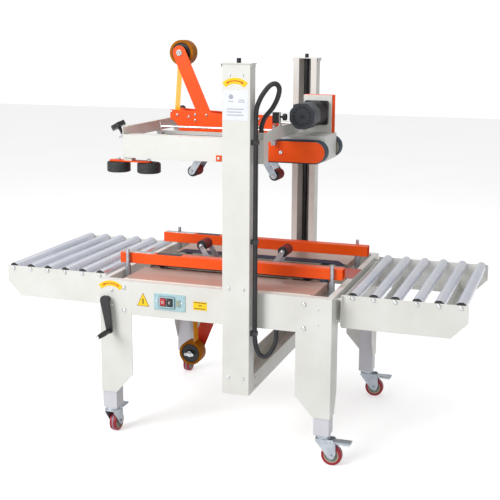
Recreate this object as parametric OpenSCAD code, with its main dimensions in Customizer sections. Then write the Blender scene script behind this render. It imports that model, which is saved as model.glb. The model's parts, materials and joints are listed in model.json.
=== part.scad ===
// Carton sealing machine with a roller bed, a height-adjustable head and belt drives above and below.
// Units are millimetres. X runs along the carton's travel, Y to the rear, Z up from the floor.

/* [Bed] */
// Half the bed's length along the travel
bed_half = 440; // [425:460]
// Half the bed's depth, outer face
bed_deep = 393; // [380:410]
// Height of the bed's top edge above the floor
bed_top = 607; // [580:640]
// Height of the side panels
panel_tall = 126; // [110:140]
// Width of a leg on the front face
leg_wide = 128; // [110:140]
// Width of a leg on the end face
leg_deep = 92; // [80:110]
// Height of the outer legs' lower edge
sleeve_low = 175; // [165:200]
// Height of the inner legs' lower end
inner_low = 111; // [109:118]

/* [Rollers and tables] */
// Roller diameter
roller_d = 38; // [34:44]
// Distance from roller to roller
pitch = 74; // [68:78]
// Overall length of a roller
roller_long = 632; // [600:632]
// Gap from the bed to the infeed table
in_gap = 6; // [4:20]
// Gap from the bed to the outfeed table
out_gap = 16; // [10:24]
// Depth of the tables' side panels
table_tall = 118; // [100:124]

/* [Casters] */
// Wheel diameter
wheel_d = 75; // [70:76]
// Wheel width
wheel_wide = 28; // [24:28]
// Offset of the axle behind the swivel
trail = 32; // [28:36]

/* [Columns and head] */
// Column width along the travel
col_wide = 98; // [90:110]
// Column depth outside the bed
col_deep = 54; // [50:60]
// Left edge of the columns
col_left = 62; // [50:80]
// Height of the columns' lower end
col_low = 247; // [235:260]
// Height of the columns' upper end
col_top = 1396; // [1360:1420]
// Height of the head's belts above the bed
lift = 425; // [400:440]
// Slot width in the column's open side
slot = 50; // [44:56]
// Lead screw diameter
screw_d = 20; // [16:22]

/* [Drives and cartridges] */
// Half the length of the upper drive between its pulley axles
upper_axle = 292; // [280:300]
// Half the length of the lower drive between its pulley axles
lower_axle = 318; // [300:325]
// Tape roll diameter
tape_d = 96; // [88:104]
// Diameter of the pressing rollers
press_d = 42; // [38:46]

/* [Guides and crank] */
// Distance of the guides' outer faces from the middle
guide_out = 226; // [215:235]
// Guide tube height
guide_tall = 40; // [36:46]
// Guide tube depth
guide_deep = 40; // [35:44]
// Crank radius
crank_r = 114; // [100:125]
// Length of the crank's grip
grip_long = 88; // [70:95]

/* [Hidden] */
$fn = 48;
fit = 0.05;          // radial clearance of each running fit
gap = 0.4;           // space between faces that slide or turn past each other
sheet = 3;           // folded sheet thickness
in_far = bed_half + in_gap + 30 + 5 * pitch + 26;
out_far = bed_half + out_gap + 38 + 5 * pitch + 26;
foot_x = bed_half - 28;
foot_y = bed_deep - 28;
rear_y = foot_y + 102;              // the rear pedal reaches furthest back
grip_y = -bed_deep - 34 - grip_long;
mid_x = (out_far - in_far) / 2;
mid_y = (rear_y + grip_y) / 2;
axis_z = bed_top - 7;              // roller axis height
axle_d = 10;
panel_low = bed_top - panel_tall;
col_right = col_left + col_wide;
col_mid = (col_left + col_right) / 2;
col_y = bed_deep;                  // inner faces of the columns
hz = bed_top + lift;               // lower run of the upper belts
pulley_r = 39;                     // inside of the belt loops
belt_t = 3;
belt_wide = 43;
belt_in = 85;                      // inner edge of the upper belts
drive_z = hz + pulley_r + belt_t;
low_top = bed_top + 9;             // upper run of the lower belts
low_r = 36;
low_in = 104;
low_wide = 52;
low_z = low_top - belt_t - low_r;
deck_in = low_in + low_wide + 2;
upper_mid = -49;
lower_mid = -12;
arm_dx = 72;
arm_dz = 117;
arm_half = 94;                     // half distance between the arms' pivots
roll_x = -262;
roll_z = hz + 390;
low_roll_x = -232;
low_roll_z = bed_top - 378;
guide_z = bed_top + 27;
post_x = bed_half - 50;
deck_half = lower_axle + 46;       // half length of the deck plates
head_left = -upper_axle - 53;
head_right = upper_axle + 33;
beam_right = col_right + 25;
motor_x = upper_axle - 37;
wheel_1_x = head_left - 29;        // pressing wheels' axles
wheel_2_x = head_left + 90;
knob_at = [head_left - 16, 56 - bed_deep, hz + 106];   // where the knob's stem starts
stop_z = sleeve_low + 125;         // top of the inner legs

module placed() { translate([-mid_x, -mid_y, 0]) children(); }
module box(x0, x1, y0, y1, z0, z1) { translate([x0, y0, z0]) cube([x1 - x0, y1 - y0, z1 - z0]); }
module rod_x(y, z, x0, x1, d) { translate([x0, y, z]) rotate([0, 90, 0]) cylinder(h = x1 - x0, d = d); }
module rod_y(x, z, y0, y1, d) { translate([x, y0, z]) rotate([-90, 0, 0]) cylinder(h = y1 - y0, d = d); }
module rod_z(x, y, z0, z1, d) { translate([x, y, z0]) cylinder(h = z1 - z0, d = d); }
// Flat plate in the X-Z plane, from y0 to y1
module plate_xz(y0, y1, pts) {
  translate([0, y1, 0]) rotate([90, 0, 0]) linear_extrude(y1 - y0) polygon(pts);
}
// Flat plate in the Y-Z plane, from x0 to x1
module plate_yz(x0, x1, pts) {
  translate([x0, 0, 0]) rotate([90, 0, 90]) linear_extrude(x1 - x0) polygon(pts);
}
// Outline of a slanted bar with round ends of radius r, or of r and q
function capsule(xa, za, xb, zb, r, q = 0) = let (t = atan2(zb - za, xb - xa), e = q > 0 ? q : r,
    v = asin((r - e) / norm([xb - xa, zb - za])), k = 15 + v / 6, m = 15 - v / 6) concat(
  [for (i = [0:12]) [xa + r * cos(t + 90 - v + k * i), za + r * sin(t + 90 - v + k * i)]],
  [for (i = [0:12]) [xb + e * cos(t - 90 + v + m * i), zb + e * sin(t - 90 + v + m * i)]]);
// Round-ended level bar along X
module bar_y(xa, za, xb, zb, w, y0, y1) {
  rod_y(xa, za, y0, y1, w);
  rod_y(xb, zb, y0, y1, w);
  translate([xa, y0, za]) rotate([0, -atan2(zb - za, xb - xa), 0])
    translate([0, 0, -w / 2]) cube([norm([xb - xa, zb - za]), y1 - y0, w]);
}
module mirror_y() { children(); mirror([0, 1, 0]) children(); }
module dome_y(x, z, y, d) {
  translate([x, y, z]) rotate([90, 0, 0]) rotate_extrude()
    polygon([[0, 0], [d / 2, 0], [d / 2, d * 0.12], [d * 0.4, d * 0.3], [d * 0.22, d * 0.4],
      [0, d * 0.42]]);
}

// ---- bed ----
module bed_frame() placed() color("#E6E6E3") {
  px = bed_half - leg_wide;
  ly = bed_deep - leg_deep;
  difference() {
    union() {
      mirror_y() {
        box(-px, px, -bed_deep, -bed_deep + sheet, panel_low, bed_top);
        box(-bed_half + sheet, bed_half - sheet, -bed_deep + sheet, -bed_deep + 33, bed_top - 2, bed_top);
        box(-px, px, -bed_deep + sheet, -bed_deep + 30, panel_low, panel_low + sheet);
        box(-px, px, -bed_deep + sheet, -bed_deep + 5, bed_top - 40, bed_top - 2);
      }
      for (s = [-1, 1]) scale([s, 1, 1]) {
        box(bed_half - 22, bed_half, -ly, ly, bed_top - 2, bed_top);
        box(bed_half - 22, bed_half - sheet, -bed_deep + sheet, bed_deep - sheet, bed_top - 2, bed_top);
        box(bed_half - 22, bed_half - 19, -bed_deep + sheet, bed_deep - sheet, bed_top - 70, bed_top - 2);
        box(bed_half - sheet, bed_half, -ly, ly, bed_top - 108, bed_top - 2);
        box(bed_half - 22, bed_half - sheet, -bed_deep + 5, bed_deep - 5, bed_top - 73, bed_top - 70);
        box(bed_half - 60, bed_half - 57, -bed_deep + 30, bed_deep - 30, panel_low, bed_top - 70);
        box(bed_half - 57, bed_half - 22, -bed_deep + 30, bed_deep - 30, bed_top - 73, bed_top - 70);
        mirror_y() {
          box(bed_half - 60, bed_half - 22, -bed_deep + 5, -bed_deep + 30, bed_top - 73, bed_top - 70);
          box(bed_half - 60, bed_half - 57, -bed_deep + 5, -bed_deep + 30, panel_low + 40, bed_top - 70);
        }
      }
    }
    // clearance for the guide-width crank's shaft in the end flanges
    box(-bed_half + 15, -bed_half + 51, -bed_deep - 1, -bed_deep + 60, bed_top - 90, bed_top - 56);
  }
}

module bed_decks() placed() color("#CDB1A5") mirror_y() {
  box(-deck_half, deck_half, -bed_deep + 5, -deck_in, bed_top - 6, bed_top - 2);
  for (x = [-deck_half, deck_half - 4])
    box(x, x + 4, -bed_deep + 5, -deck_in - 4, bed_top - 30, bed_top - 6);
}

module leg_shell() {
  x1 = bed_half;
  plate_xz(-bed_deep, -bed_deep + sheet,
    [[x1, bed_top], [x1 - leg_wide, bed_top], [x1 - leg_wide, sleeve_low + 75], [x1 - 60, sleeve_low],
     [x1, sleeve_low]]);
  plate_yz(x1 - sheet, x1,
    [[-bed_deep, bed_top], [-bed_deep + leg_deep, bed_top], [-bed_deep + leg_deep, sleeve_low + 75],
     [-bed_deep + 60, sleeve_low], [-bed_deep, sleeve_low]]);
  // welded stop that carries the inner leg
  box(x1 - 59, x1 - sheet, -bed_deep + sheet, -bed_deep + 59, stop_z, stop_z + 3);
  box(x1 - 59, x1 - 56, -bed_deep + sheet, -bed_deep + 59, stop_z + 3, stop_z + 120);
}
module legs_outer() placed() color("#E6E6E3") {
  difference() {
    for (sx = [-1, 1], sy = [-1, 1]) scale([sx, -sy, 1]) leg_shell();
    rod_y(-bed_half + 33, bed_top - 73, -bed_deep - 1, -bed_deep + sheet + 1, 14 + 2 * fit);
  }
  dome_y(-bed_half + 50, bed_top - 39, -bed_deep, 11);
  for (sx = [-1, 1]) mirror_y() {
    for (z = [bed_top - 24, bed_top - 109]) dome_y(sx * (bed_half - 99), z, -bed_deep, 15);
    for (z = [bed_top - 40, bed_top - 95]) dome_y(sx * (bed_half - 49), z, -bed_deep, 7);
  }
}

module inner_legs() placed() color("#DDDDDC") for (sx = [-1, 1], sy = [-1, 1]) scale([sx, sy, 1]) {
  x1 = bed_half - sheet;
  y1 = bed_deep - sheet;
  difference() {
    box(x1 - 56, x1, y1 - 56, y1, inner_low, stop_z);
    box(x1 - 53.5, x1 - 2.5, y1 - 53.5, y1 - 2.5, inner_low + 6, stop_z + 1);
    rod_z(foot_x, foot_y, inner_low - 1, inner_low + 7, 12 + 2 * fit);
  }
}

// ---- casters: local X points from the swivel to the axle ----
module at_foot(sx, sy, turn) { translate([sx * foot_x, sy * foot_y, 0]) rotate([0, 0, turn]) children(); }
module fork() {
  r = wheel_d / 2;
  rod_z(0, 0, inner_low - 6, inner_low + 16, 12);
  rod_z(0, 0, inner_low - 12, inner_low - gap, 50);
  rod_z(0, 0, inner_low - 14, inner_low - 12, 56);
  box(-25, 20, -20, 20, inner_low - 18, inner_low - 14);
  difference() {
    for (y = [-20, 17]) plate_xz(y, y + 3,
      [[-25, inner_low - 14], [38, inner_low - 14], [48, inner_low - 28], [50, r + 12], [43, r - 8],
       [trail, r - 12], [21, r - 6], [-25, inner_low - 22]]);
    rod_y(30, inner_low - 25, -21, 21, 6 + 2 * fit);
  }
  rod_y(trail, r, -20, 20, 8);
  for (y = [-25, 20]) rod_y(trail, r, y, y + 5, 13);
}
module wheel() {
  r = wheel_d / 2;
  w = wheel_wide / 2;
  translate([trail, 0, r]) rotate([-90, 0, 0]) rotate_extrude($fn = 64)
    polygon([[4 + fit, -w], [11, -w], [11, -w + 4], [r * 0.7, -w + 4], [r * 0.72, -w], [r - 3, -w],
      [r, -w + 4], [r, -3], [r - 0.8, -2.4], [r - 0.8, 2.4], [r, 3], [r, w - 4], [r - 3, w],
      [r * 0.72, w], [r * 0.7, w - 4], [11, w - 4], [11, w], [4 + fit, w]]);
}
module pedal() {
  z = inner_low - 25;
  rod_y(30, z, -22, 22, 6);
  box(22, 52, -16.4, 16.4, z - 2, z + 5);
  plate_xz(-16.4, 16.4, [[48, z - 3], [96, z - 5], [102, z + 2], [99, z + 6], [48, z + 5]]);
  box(56, 100, -20, 20, z, z + 4);
}
module fork_fl() placed() color("#B8BEC6") at_foot(-1, -1, 90) fork();
module fork_fr() placed() color("#B8BEC6") at_foot(1, -1, 0) fork();
module fork_rl() placed() color("#B8BEC6") at_foot(-1, 1, 90) fork();
module fork_rr() placed() color("#B8BEC6") at_foot(1, 1, 0) fork();
module wheel_fl() placed() color("#A81C2E") at_foot(-1, -1, 90) wheel();
module wheel_fr() placed() color("#A81C2E") at_foot(1, -1, 0) wheel();
module wheel_rl() placed() color("#A81C2E") at_foot(-1, 1, 90) wheel();
module wheel_rr() placed() color("#A81C2E") at_foot(1, 1, 0) wheel();
module pedal_fl() placed() color("#B8BEC6") at_foot(-1, -1, 90) pedal();
module pedal_fr() placed() color("#B8BEC6") at_foot(1, -1, 0) pedal();
module pedal_rl() placed() color("#B8BEC6") at_foot(-1, 1, 90) pedal();
module pedal_rr() placed() color("#B8BEC6") at_foot(1, 1, 0) pedal();

// ---- roller tables ----
function in_x(i) = -(bed_half + in_gap + 30 + i * pitch);
function out_x(i) = bed_half + out_gap + 38 + i * pitch;
module roller(x) placed() color("#C9CCD6") {
  l = roller_long / 2;
  r = roller_d / 2;
  translate([x, 0, axis_z]) rotate([-90, 0, 0]) rotate_extrude($fn = 48)
    polygon([[axle_d / 2 + fit, -l], [r - 2, -l], [r, -l + 2], [r, l - 2], [r - 2, l],
      [axle_d / 2 + fit, l],
      [axle_d / 2 + fit, l - 10], [r - 2, l - 10], [r - 2, -l + 10], [axle_d / 2 + fit, -l + 10]]);
}
module in_roller_1() roller(in_x(0));
module in_roller_2() roller(in_x(1));
module in_roller_3() roller(in_x(2));
module in_roller_4() roller(in_x(3));
module in_roller_5() roller(in_x(4));
module in_roller_6() roller(in_x(5));
module out_roller_1() roller(out_x(0));
module out_roller_2() roller(out_x(1));
module out_roller_3() roller(out_x(2));
module out_roller_4() roller(out_x(3));
module out_roller_5() roller(out_x(4));
module out_roller_6() roller(out_x(5));

// A table running in +X from xn to xf, with rollers at xs
module table(xn, xf, xs, gap_in) {
  yi = roller_long / 2 + 2;
  zt = bed_top + 1;
  zb = zt - table_tall;
  mirror_y() {
    plate_xz(-yi - sheet, -yi, [[xn, zt], [xn, zb], [xf - 56, zb], [xf, zb + 57], [xf, zt]]);
    box(xn, xf - 56, -yi, -yi + 22, zb, zb + sheet);
    for (x = xs) dome_y(x, axis_z, -yi - sheet, 15);
    // spacing bolts to the bed
    for (z = [bed_top - 14, bed_top - 92]) rod_x(-yi - 8, z, xn - gap_in, xn, 10);
    box(xn, xn + sheet, -yi - 16, -yi - sheet, bed_top - 108, bed_top);
  }
  for (x = xs) rod_y(x, axis_z, -yi, yi, axle_d);
  box(xn, xn + sheet, -yi, yi, zb, axis_z - 4);
  for (x = [xn + 96, xf - 110]) {
    box(x, x + 40, -yi + 22, yi - 22, zb, zb + sheet);
    box(x, x + sheet, -yi, yi, zb + sheet, zb + 48);
    box(x + 37, x + 40, -yi, yi, zb + sheet, zb + 20);
  }
}
module infeed_table() placed() color("#E6E6E3") scale([-1, 1, 1])
  table(bed_half + in_gap, in_far, [for (i = [0:5]) -in_x(i)], in_gap);
module outfeed_table() placed() color("#E6E6E3")
  table(bed_half + out_gap, out_far, [for (i = [0:5]) out_x(i)], out_gap);

// ---- columns ----
module column() {
  yo = col_y + col_deep;
  lip = (col_wide - slot) / 2;
  box(col_left, col_right, -yo, -yo + sheet, col_low, col_top);
  box(col_left, col_left + sheet, -yo + sheet, -col_y, col_low, col_top);
  box(col_right - sheet, col_right, -yo + sheet, -col_y, col_low, col_top);
  box(col_left + sheet, col_left + lip, -col_y - sheet, -col_y, col_low, col_top);
  box(col_right - lip, col_right - sheet, -col_y - sheet, -col_y, col_low, col_top);
  difference() {
    box(col_left + sheet, col_right - sheet, -yo + sheet, -col_y - sheet, col_low, col_low + 4);
    rod_z(col_mid, -col_y - col_deep / 2, col_low - 1, col_low + 5, 12 + 2 * fit);
  }
  difference() {
    union() {
      box(col_left - 5, col_right + 5, -yo - 3, -col_y, col_top, col_top + 3);
      for (x = [col_left - 5, col_right + 3])
        box(x, x + 2, -yo - 3, -col_y - 10, col_top - 9, col_top);
    }
    rod_z(col_mid, -col_y - col_deep / 2, col_top - 1, col_top + 4, 14 + 2 * fit);
  }
  for (x = [col_left + 23, col_right - 22], z = [bed_top + 22, col_low + 61]) dome_y(x, z, -yo, 11);
  for (x = [col_left + 26, col_right - 26]) dome_y(x, col_top - 37, -yo, 8);
}
module column_front() placed() color("#E6E6E3") column();
module column_rear() placed() color("#E6E6E3") scale([1, -1, 1]) column();
module base_channel() placed() color("#E6E6E3") {
  box(col_left, col_right, -col_y, col_y, col_low, col_low + sheet);
  for (x = [col_left, col_right - sheet]) box(x, x + sheet, -col_y, col_y, col_low + sheet, col_low + 60);
  mirror_y()
    box(col_left + sheet, col_right - sheet, -col_y, -col_y + sheet, col_low + sheet, col_low + 60);
  mirror_y() for (z = [col_low + 12, col_low + 44]) rod_x(-col_y + 20, z, col_right, col_right + 5, 11);
}
module lead_screw(s) placed() color("#2E3033") scale([1, s, 1]) {
  y = -col_y - col_deep / 2;
  rod_z(col_mid, y, col_low, col_low + 6, 12);
  rod_z(col_mid, y, col_low + 4 + gap, col_top - gap, screw_d);
  rod_z(col_mid, y, col_top - 1, col_top + 5, 14);
  translate([col_mid, y, col_top + 5]) cylinder(h = 14, d = 16, $fn = 6);
}
module lead_screw_front() lead_screw(1);
module lead_screw_rear() lead_screw(-1);

// ---- head ----
module head_frame() placed() color("#E6E6E3") {
  zb = hz + 25;
  zt = hz + 108;
  yb = col_y - 21;
  xl = head_left;
  xr = beam_right;
  mirror_y() {
    // cross beam, a channel open downwards
    box(xl, xr, -yb, -yb + sheet, zb, zt);
    box(xl, xr, -yb + 47, -yb + 50, zb, zt);
    box(xl, xr, -yb + sheet, -yb + 47, zt - sheet, zt);
    for (x = [xl, xr - 3]) box(x, x + 3, -yb + sheet, -yb + 47, zb, zt - sheet);
    // carriage in the column
    difference() {
      union() {
        box(col_left + sheet + gap, col_right - sheet - gap, -col_y - col_deep + sheet + gap,
            -col_y - sheet - gap, zb - 10, zt + 10);
        box(col_mid - slot / 2 + gap, col_mid + slot / 2 - gap, -col_y - sheet - gap, -yb, zb, zt);
      }
      rod_z(col_mid, -col_y - col_deep / 2, zb - 11, zt + 11, screw_d + 2 * fit);
    }
    // inner rails that carry the pulleys' shafts
    difference() {
      box(xl + 3, head_right, -84, -81, hz + 6, hz + 98);
      for (x = [-upper_axle, upper_axle + 6]) rod_y(x, drive_z, -85, -80, 17);
    }
  }
  // left end plate
  box(xl, xl + 3, -yb, yb, hz + 95, hz + 138);
  box(xl + 3, xl + 19, -yb, yb, hz + 135, hz + 138);
  // right end plate with its upright tab
  plate_yz(xr - 3, xr, [[-yb + 50, hz + 95], [-yb, hz + 108], [-yb, hz + 126], [-192, hz + 142],
    [-192, hz + 188], [-178, hz + 188], [-176, hz + 152], [-160, hz + 138], [160, hz + 138],
    [yb, hz + 122], [yb, hz + 108], [yb - 50, hz + 95]]);
  // drive box under the motor
  box(xr, head_right, -81, 81, hz + 95, hz + 98);
  box(head_right - 3, head_right, -81, 81, hz + 6, hz + 95);
  box(xr + 20, head_right - 3, -81, 81, hz + 6, hz + 9);
  // bracket of the pressing wheels
  box(xl, xl + 30, -yb + 8, -yb + 42, hz + 13, zb);
  difference() {
    bar_xy(wheel_1_x - 18, wheel_2_x - 7, -yb + 25, 34, hz + 8, hz + 13);
    for (x = [wheel_1_x, wheel_2_x]) rod_z(x, -yb + 25, hz + 7, hz + 14, 8);
  }
  for (x = [wheel_1_x, wheel_2_x]) {
    rod_z(x, -yb + 25, hz - 30, hz + 16, 8);
    rod_z(x, -yb + 25, hz - 33, hz - 30, 15);
    rod_z(x, -yb + 25, hz + 16, hz + 20, 13);
  }
  // square bolt plate
  box(12, 32, -yb - 2, -yb, hz + 28, hz + 48);
  dome_y(22, hz + 38, -yb - 2, 10);
  // bracket and slanted boss under the belt-tension knob
  box(xl - 26, xl, knob_at[1] - 11, knob_at[1] + 11, hz + 91, hz + 97);
  translate(knob_at) rotate([0, -30, 0]) translate([0, 0, -12]) cylinder(h = 12, d = 14);
  // gland of the conduit
  rod_z(col_right + 8, -yb + 25, zt, zt + 22, 26);
}
// Clamp block and stud on the end plate's upright tab
module tab_clamp() placed() color("#222326") {
  box(beam_right - 25, beam_right - 3, -198, -172, hz + 150, hz + 188);
  rod_x(-185, hz + 172, beam_right, beam_right + 12, 8);
  rod_x(-185, hz + 172, beam_right + 11, beam_right + 23, 24);
}
module bar_xy(xa, xb, y, w, z0, z1) {
  rod_z(xa, y, z0, z1, w);
  rod_z(xb, y, z0, z1, w);
  box(xa, xb, y - w / 2, y + w / 2, z0, z1);
}

module upper_drive() placed() color("#F4581C") mirror_y() {
  r = pulley_r - 1;
  bar_y(-upper_axle, drive_z, upper_axle + 6, drive_z, 2 * r, -132, -129);
  for (x = [-upper_axle, upper_axle + 6]) {
    rod_y(x, drive_z, -belt_in - belt_wide, -belt_in + 0.4, 2 * pulley_r - 0.6);
    rod_y(x, drive_z, -129, -belt_in - belt_wide, 20);
    rod_y(x, drive_z, -belt_in + 0.4, -81, 16);
  }
  for (x = [-160, 0, 160]) rod_y(x, drive_z, -129, -84, 22);
  dome_y(140, drive_z + 4, -132, 14);
  // retaining rod above the drive
  rod_x(-150, hz + 120, head_left + 49, beam_right - 9, 8);
  for (x = [head_left + 49, beam_right - 35]) {
    rod_z(x, -150, hz + 96, hz + 134, 9);
    box(x - 8, x + 8, -158, -132, hz + 66, hz + 96);
  }
}

module loop_y(xa, xb, z, r, t, y0, y1) {
  difference() {
    bar_y(xa, z, xb, z, 2 * (r + t), y0, y1);
    bar_y(xa, z, xb, z, 2 * r, y0 - 1, y1 + 1);
  }
}
module upper_belts() placed() color("#1F3A52") mirror_y()
  loop_y(-upper_axle, upper_axle + 6, drive_z, pulley_r, belt_t, -belt_in - belt_wide, -belt_in);

module gearmotor() placed() color("#3A3D45") {
  zc = hz + 173;
  xc = motor_x;
  // mounting plates standing on the drive box
  box(xc - 53, xc + 57, 58, 64, hz + 98, hz + 238);
  box(xc - 50, xc + 67, 64, 70, hz + 98, hz + 240);
  // motor flange, body and fan cover
  box(xc - 45, xc + 45, 40, 58, zc - 45, zc + 45);
  rod_y(xc, zc, -60, 40, 86);
  translate([xc, 40, zc]) rotate([90, 22.5, 0]) cylinder(h = 30, d = 95, $fn = 8);
  difference() {
    translate([xc, -60, zc]) rotate([90, 22.5, 0]) cylinder(h = 92, d = 97, $fn = 8);
    for (a = [0:30:330]) rod_y(xc + 30 * cos(a), zc + 30 * sin(a), -153, -147, 7);
  }
  // terminal box
  box(xc - 60, xc - 44, -60, 0, zc - 30, zc + 36);
}

module tape_plates(s) {
  z0 = s > 0 ? hz : low_top;
  mirror_y() difference() {
    if (s > 0)
      plate_xz(-48, -45, [[-300, z0 + 176], [-120, z0 + 166], [112, z0 + 154], [112, z0 + 20],
        [-262, z0 + 20], [-262, z0 + 96], [-268, z0 + 114], [-282, z0 + 130], [-300, z0 + 140]]);
    else
      plate_xz(-48, -45, [[-240, z0 - 18], [180, z0 - 18], [180, z0 - 150], [-140, z0 - 150],
        [-240, z0 - 100]]);
  }
}
module upper_cartridge() placed() color("#F4581C") {
  tape_plates(1);
  zp = hz + 55;
  for (x = [upper_mid - arm_half, upper_mid + arm_half]) rod_y(x, zp, -45, 45, 12);
  for (p = [[-290, 160], [-180, 130], [-30, 125], [95, 120]]) rod_y(p[0], hz + p[1], -45, 45, 14);
  for (x = [-250, 95]) mirror_y() rod_y(x, hz + 40, 48, 81, 16);
  for (p = [[-294, 168], [-270, 156], [-222, 150], [-196, 158], [-196, 138], [-150, 158],
    [60, 150], [60, 120]]) dome_y(p[0], hz + p[1], -48, 9);
  // arm that carries the tape roll
  plate_xz(-45, -42, capsule(roll_x, roll_z, -142, hz + 120, 27));
  rod_y(roll_x, roll_z, -42, 32, 16);
  rod_y(roll_x, roll_z, -52, -45, 24);
  rod_y(roll_x, roll_z, 27, 32, 30);
  // tape run from the roll to the first spacer
  xs = roll_x - 14;
  zs = roll_z - sqrt(pow(tape_d / 2 + 0.6, 2) - 196);
  plate_xz(-24, 24, [[xs, zs], [xs - 0.7, zs], [-290.7, hz + 160], [-290, hz + 160]]);
}
module tape_roll(x, z) placed() color("#B9771A")
  translate([x, 0, z]) rotate([-90, 0, 0]) rotate_extrude($fn = 72) {
    r = tape_d / 2;
    polygon([[8 + fit, -26], [16, -26], [16, -23], [37, -23], [37, -25], [r, -25], [r, 25], [37, 25],
      [37, 23], [16, 23], [16, 26], [8 + fit, 26]]);
  }
module upper_tape_roll() tape_roll(roll_x, roll_z);
module lower_tape_roll() tape_roll(low_roll_x, low_roll_z);

// Sprung arm: pivot at (xp, zp), roller at (xp + dx, zp + dz)
module press_arm(xp, zp, dx, dz) placed() color("#8E2A22") {
  difference() {
    union() {
      for (y = [-42, 39]) plate_xz(y, y + 3, capsule(xp, zp, xp + dx, zp + dz, 13));
      rod_y(xp, zp, -39, 39, 20);
      rod_y(xp + dx, zp + dz, -34, 34, press_d);
      rod_y(xp + dx, zp + dz, -39, 39, 10);
    }
    rod_y(xp, zp, -43, 43, 12 + 2 * fit);
  }
}
module upper_arm_in() press_arm(upper_mid - arm_half, hz + 55, -arm_dx, -arm_dz);
module upper_arm_out() press_arm(upper_mid + arm_half, hz + 55, arm_dx, -arm_dz);
module lower_arm_in() press_arm(lower_mid - arm_half, low_top - 55, -arm_dx, arm_dz);
module lower_arm_out() press_arm(lower_mid + arm_half, low_top - 55, arm_dx, arm_dz);

module press_wheel(x) placed() color("#222326") {
  y = -(col_y - 21) + 25;
  translate([x, y, hz - 29.6]) rotate_extrude($fn = 64)
    polygon([[4 + fit, 0], [38, 0], [43, 4], [43, 33], [38, 37.2], [4 + fit, 37.2]]);
}
module press_wheel_1() press_wheel(wheel_1_x);
module press_wheel_2() press_wheel(wheel_2_x);

// ---- lower drive, cartridge and belts ----
module lower_drive() placed() color("#A8A598") mirror_y() {
  yo = low_in + low_wide + 2;
  for (y = [-yo - 3, -low_in + 2]) difference() {
    box(-bed_half + 22, bed_half - 22, y, y + 3, bed_top - 70,
      y < -130 ? bed_top - 6 : low_top - belt_t - 5);
    for (s = [-1, 1]) scale([s, 1, 1]) box(deck_half + 2, bed_half, y - 1, y + 4, bed_top - 45, bed_top);
  }
  for (x = [-lower_axle, lower_axle]) {
    rod_y(x, low_z, -low_in - low_wide, -low_in, 2 * low_r - 0.6);
    rod_y(x, low_z, -yo, -low_in - low_wide, 20);
    rod_y(x, low_z, -low_in, -low_in + 2, 20);
  }
  // slider beds under the belts' upper runs
  box(-270, 270, -low_in - low_wide + 1, -low_in + 5, low_top - belt_t - 5, low_top - belt_t);
  for (x = [-220, 220]) box(x - 10, x + 10, -yo, -yo + 8, bed_top - 20, low_top - belt_t - 5);
  // cross ties to the cartridge's side plates
  for (x = [-200, 150]) rod_y(x, bed_top - 60, -low_in + 5, -48, 16);
}
module lower_belts() placed() color("#1F3A52") mirror_y()
  loop_y(-lower_axle, lower_axle, low_z, low_r, belt_t, -low_in - low_wide, -low_in);
module lower_cartridge() placed() color("#C8321E") {
  tape_plates(-1);
  zp = low_top - 55;
  for (x = [lower_mid - arm_half, lower_mid + arm_half]) rod_y(x, zp, -45, 45, 12);
  for (p = [[-228, -62], [-120, -140], [20, -130], [165, -140], [168, -85]])
    rod_y(p[0], low_top + p[1], -45, 45, 14);
  // arm that carries the tape roll
  plate_xz(42, 45, capsule(low_roll_x, low_roll_z, -118, low_top - 110, 27));
  rod_y(low_roll_x, low_roll_z, -30, 42, 16);
  rod_y(low_roll_x, low_roll_z, -36, -30, 24);
  box(low_roll_x - 20, low_roll_x + 20, -44, -36, low_roll_z - 6, low_roll_z + 6);
  // tape run
  zs = low_roll_z + sqrt(pow(tape_d / 2 + 0.6, 2) - 225);
  plate_xz(-24, 24, [[-217, zs], [-216.2, zs], [-227.6, low_top - 62], [-228.4, low_top - 62]]);
  // bridging plate over the outfeed end
  box(deck_half, bed_half - 2, -75, 75, bed_top, bed_top + 2);
}

// ---- side guides ----
module guide(post) {
  y0 = -guide_out;
  y1 = y0 + guide_deep;
  difference() {
    box(-bed_half + 5, bed_half - 5, y0, y1, guide_z, guide_z + guide_tall);
    box(-bed_half + 4, bed_half - 4, y0 + sheet, y1 - sheet, guide_z + sheet, guide_z + guide_tall - sheet);
  }
  for (s = [-1, 1]) {
    rod_z(s * post, y0 - 10, bed_top - 60, guide_z + guide_tall + 16, 14);
    rod_z(s * post, y0 - 10, guide_z - 60, guide_z - 6, 22);
    box(s * post - 7, s * post + 7, y0 - 10, y0, guide_z + 5, guide_z + guide_tall - 5);
    box(s * post - 14, s * post + 14, y0 - 24, y0 + 4, bed_top - 69.6, bed_top - 50);
  }
}
module guide_front() placed() color("#F4581C") guide(post_x + 9);
module guide_rear() placed() color("#F4581C") scale([1, -1, 1]) guide(post_x - 6);

module crank() placed() color("#222326") {
  xc = -bed_half + 33;
  zc = bed_top - 73;
  ex = xc + crank_r * 0.15;
  ez = zc - crank_r * 0.989;
  rod_y(xc, zc, -bed_deep - 30, -bed_deep - gap, 26);
  rod_y(xc, zc, -bed_deep - gap, -bed_deep + 48, 14);
  plate_xz(-bed_deep - 30, -bed_deep - 20, capsule(xc, zc, ex, ez, 18, 12));
  rod_y(ex, ez, -bed_deep - 34 - grip_long + 6, -bed_deep - 30, 20);
  rod_y(ex, ez, -bed_deep - 34 - grip_long, -bed_deep - 34 - grip_long + 6, 14);
}

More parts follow.
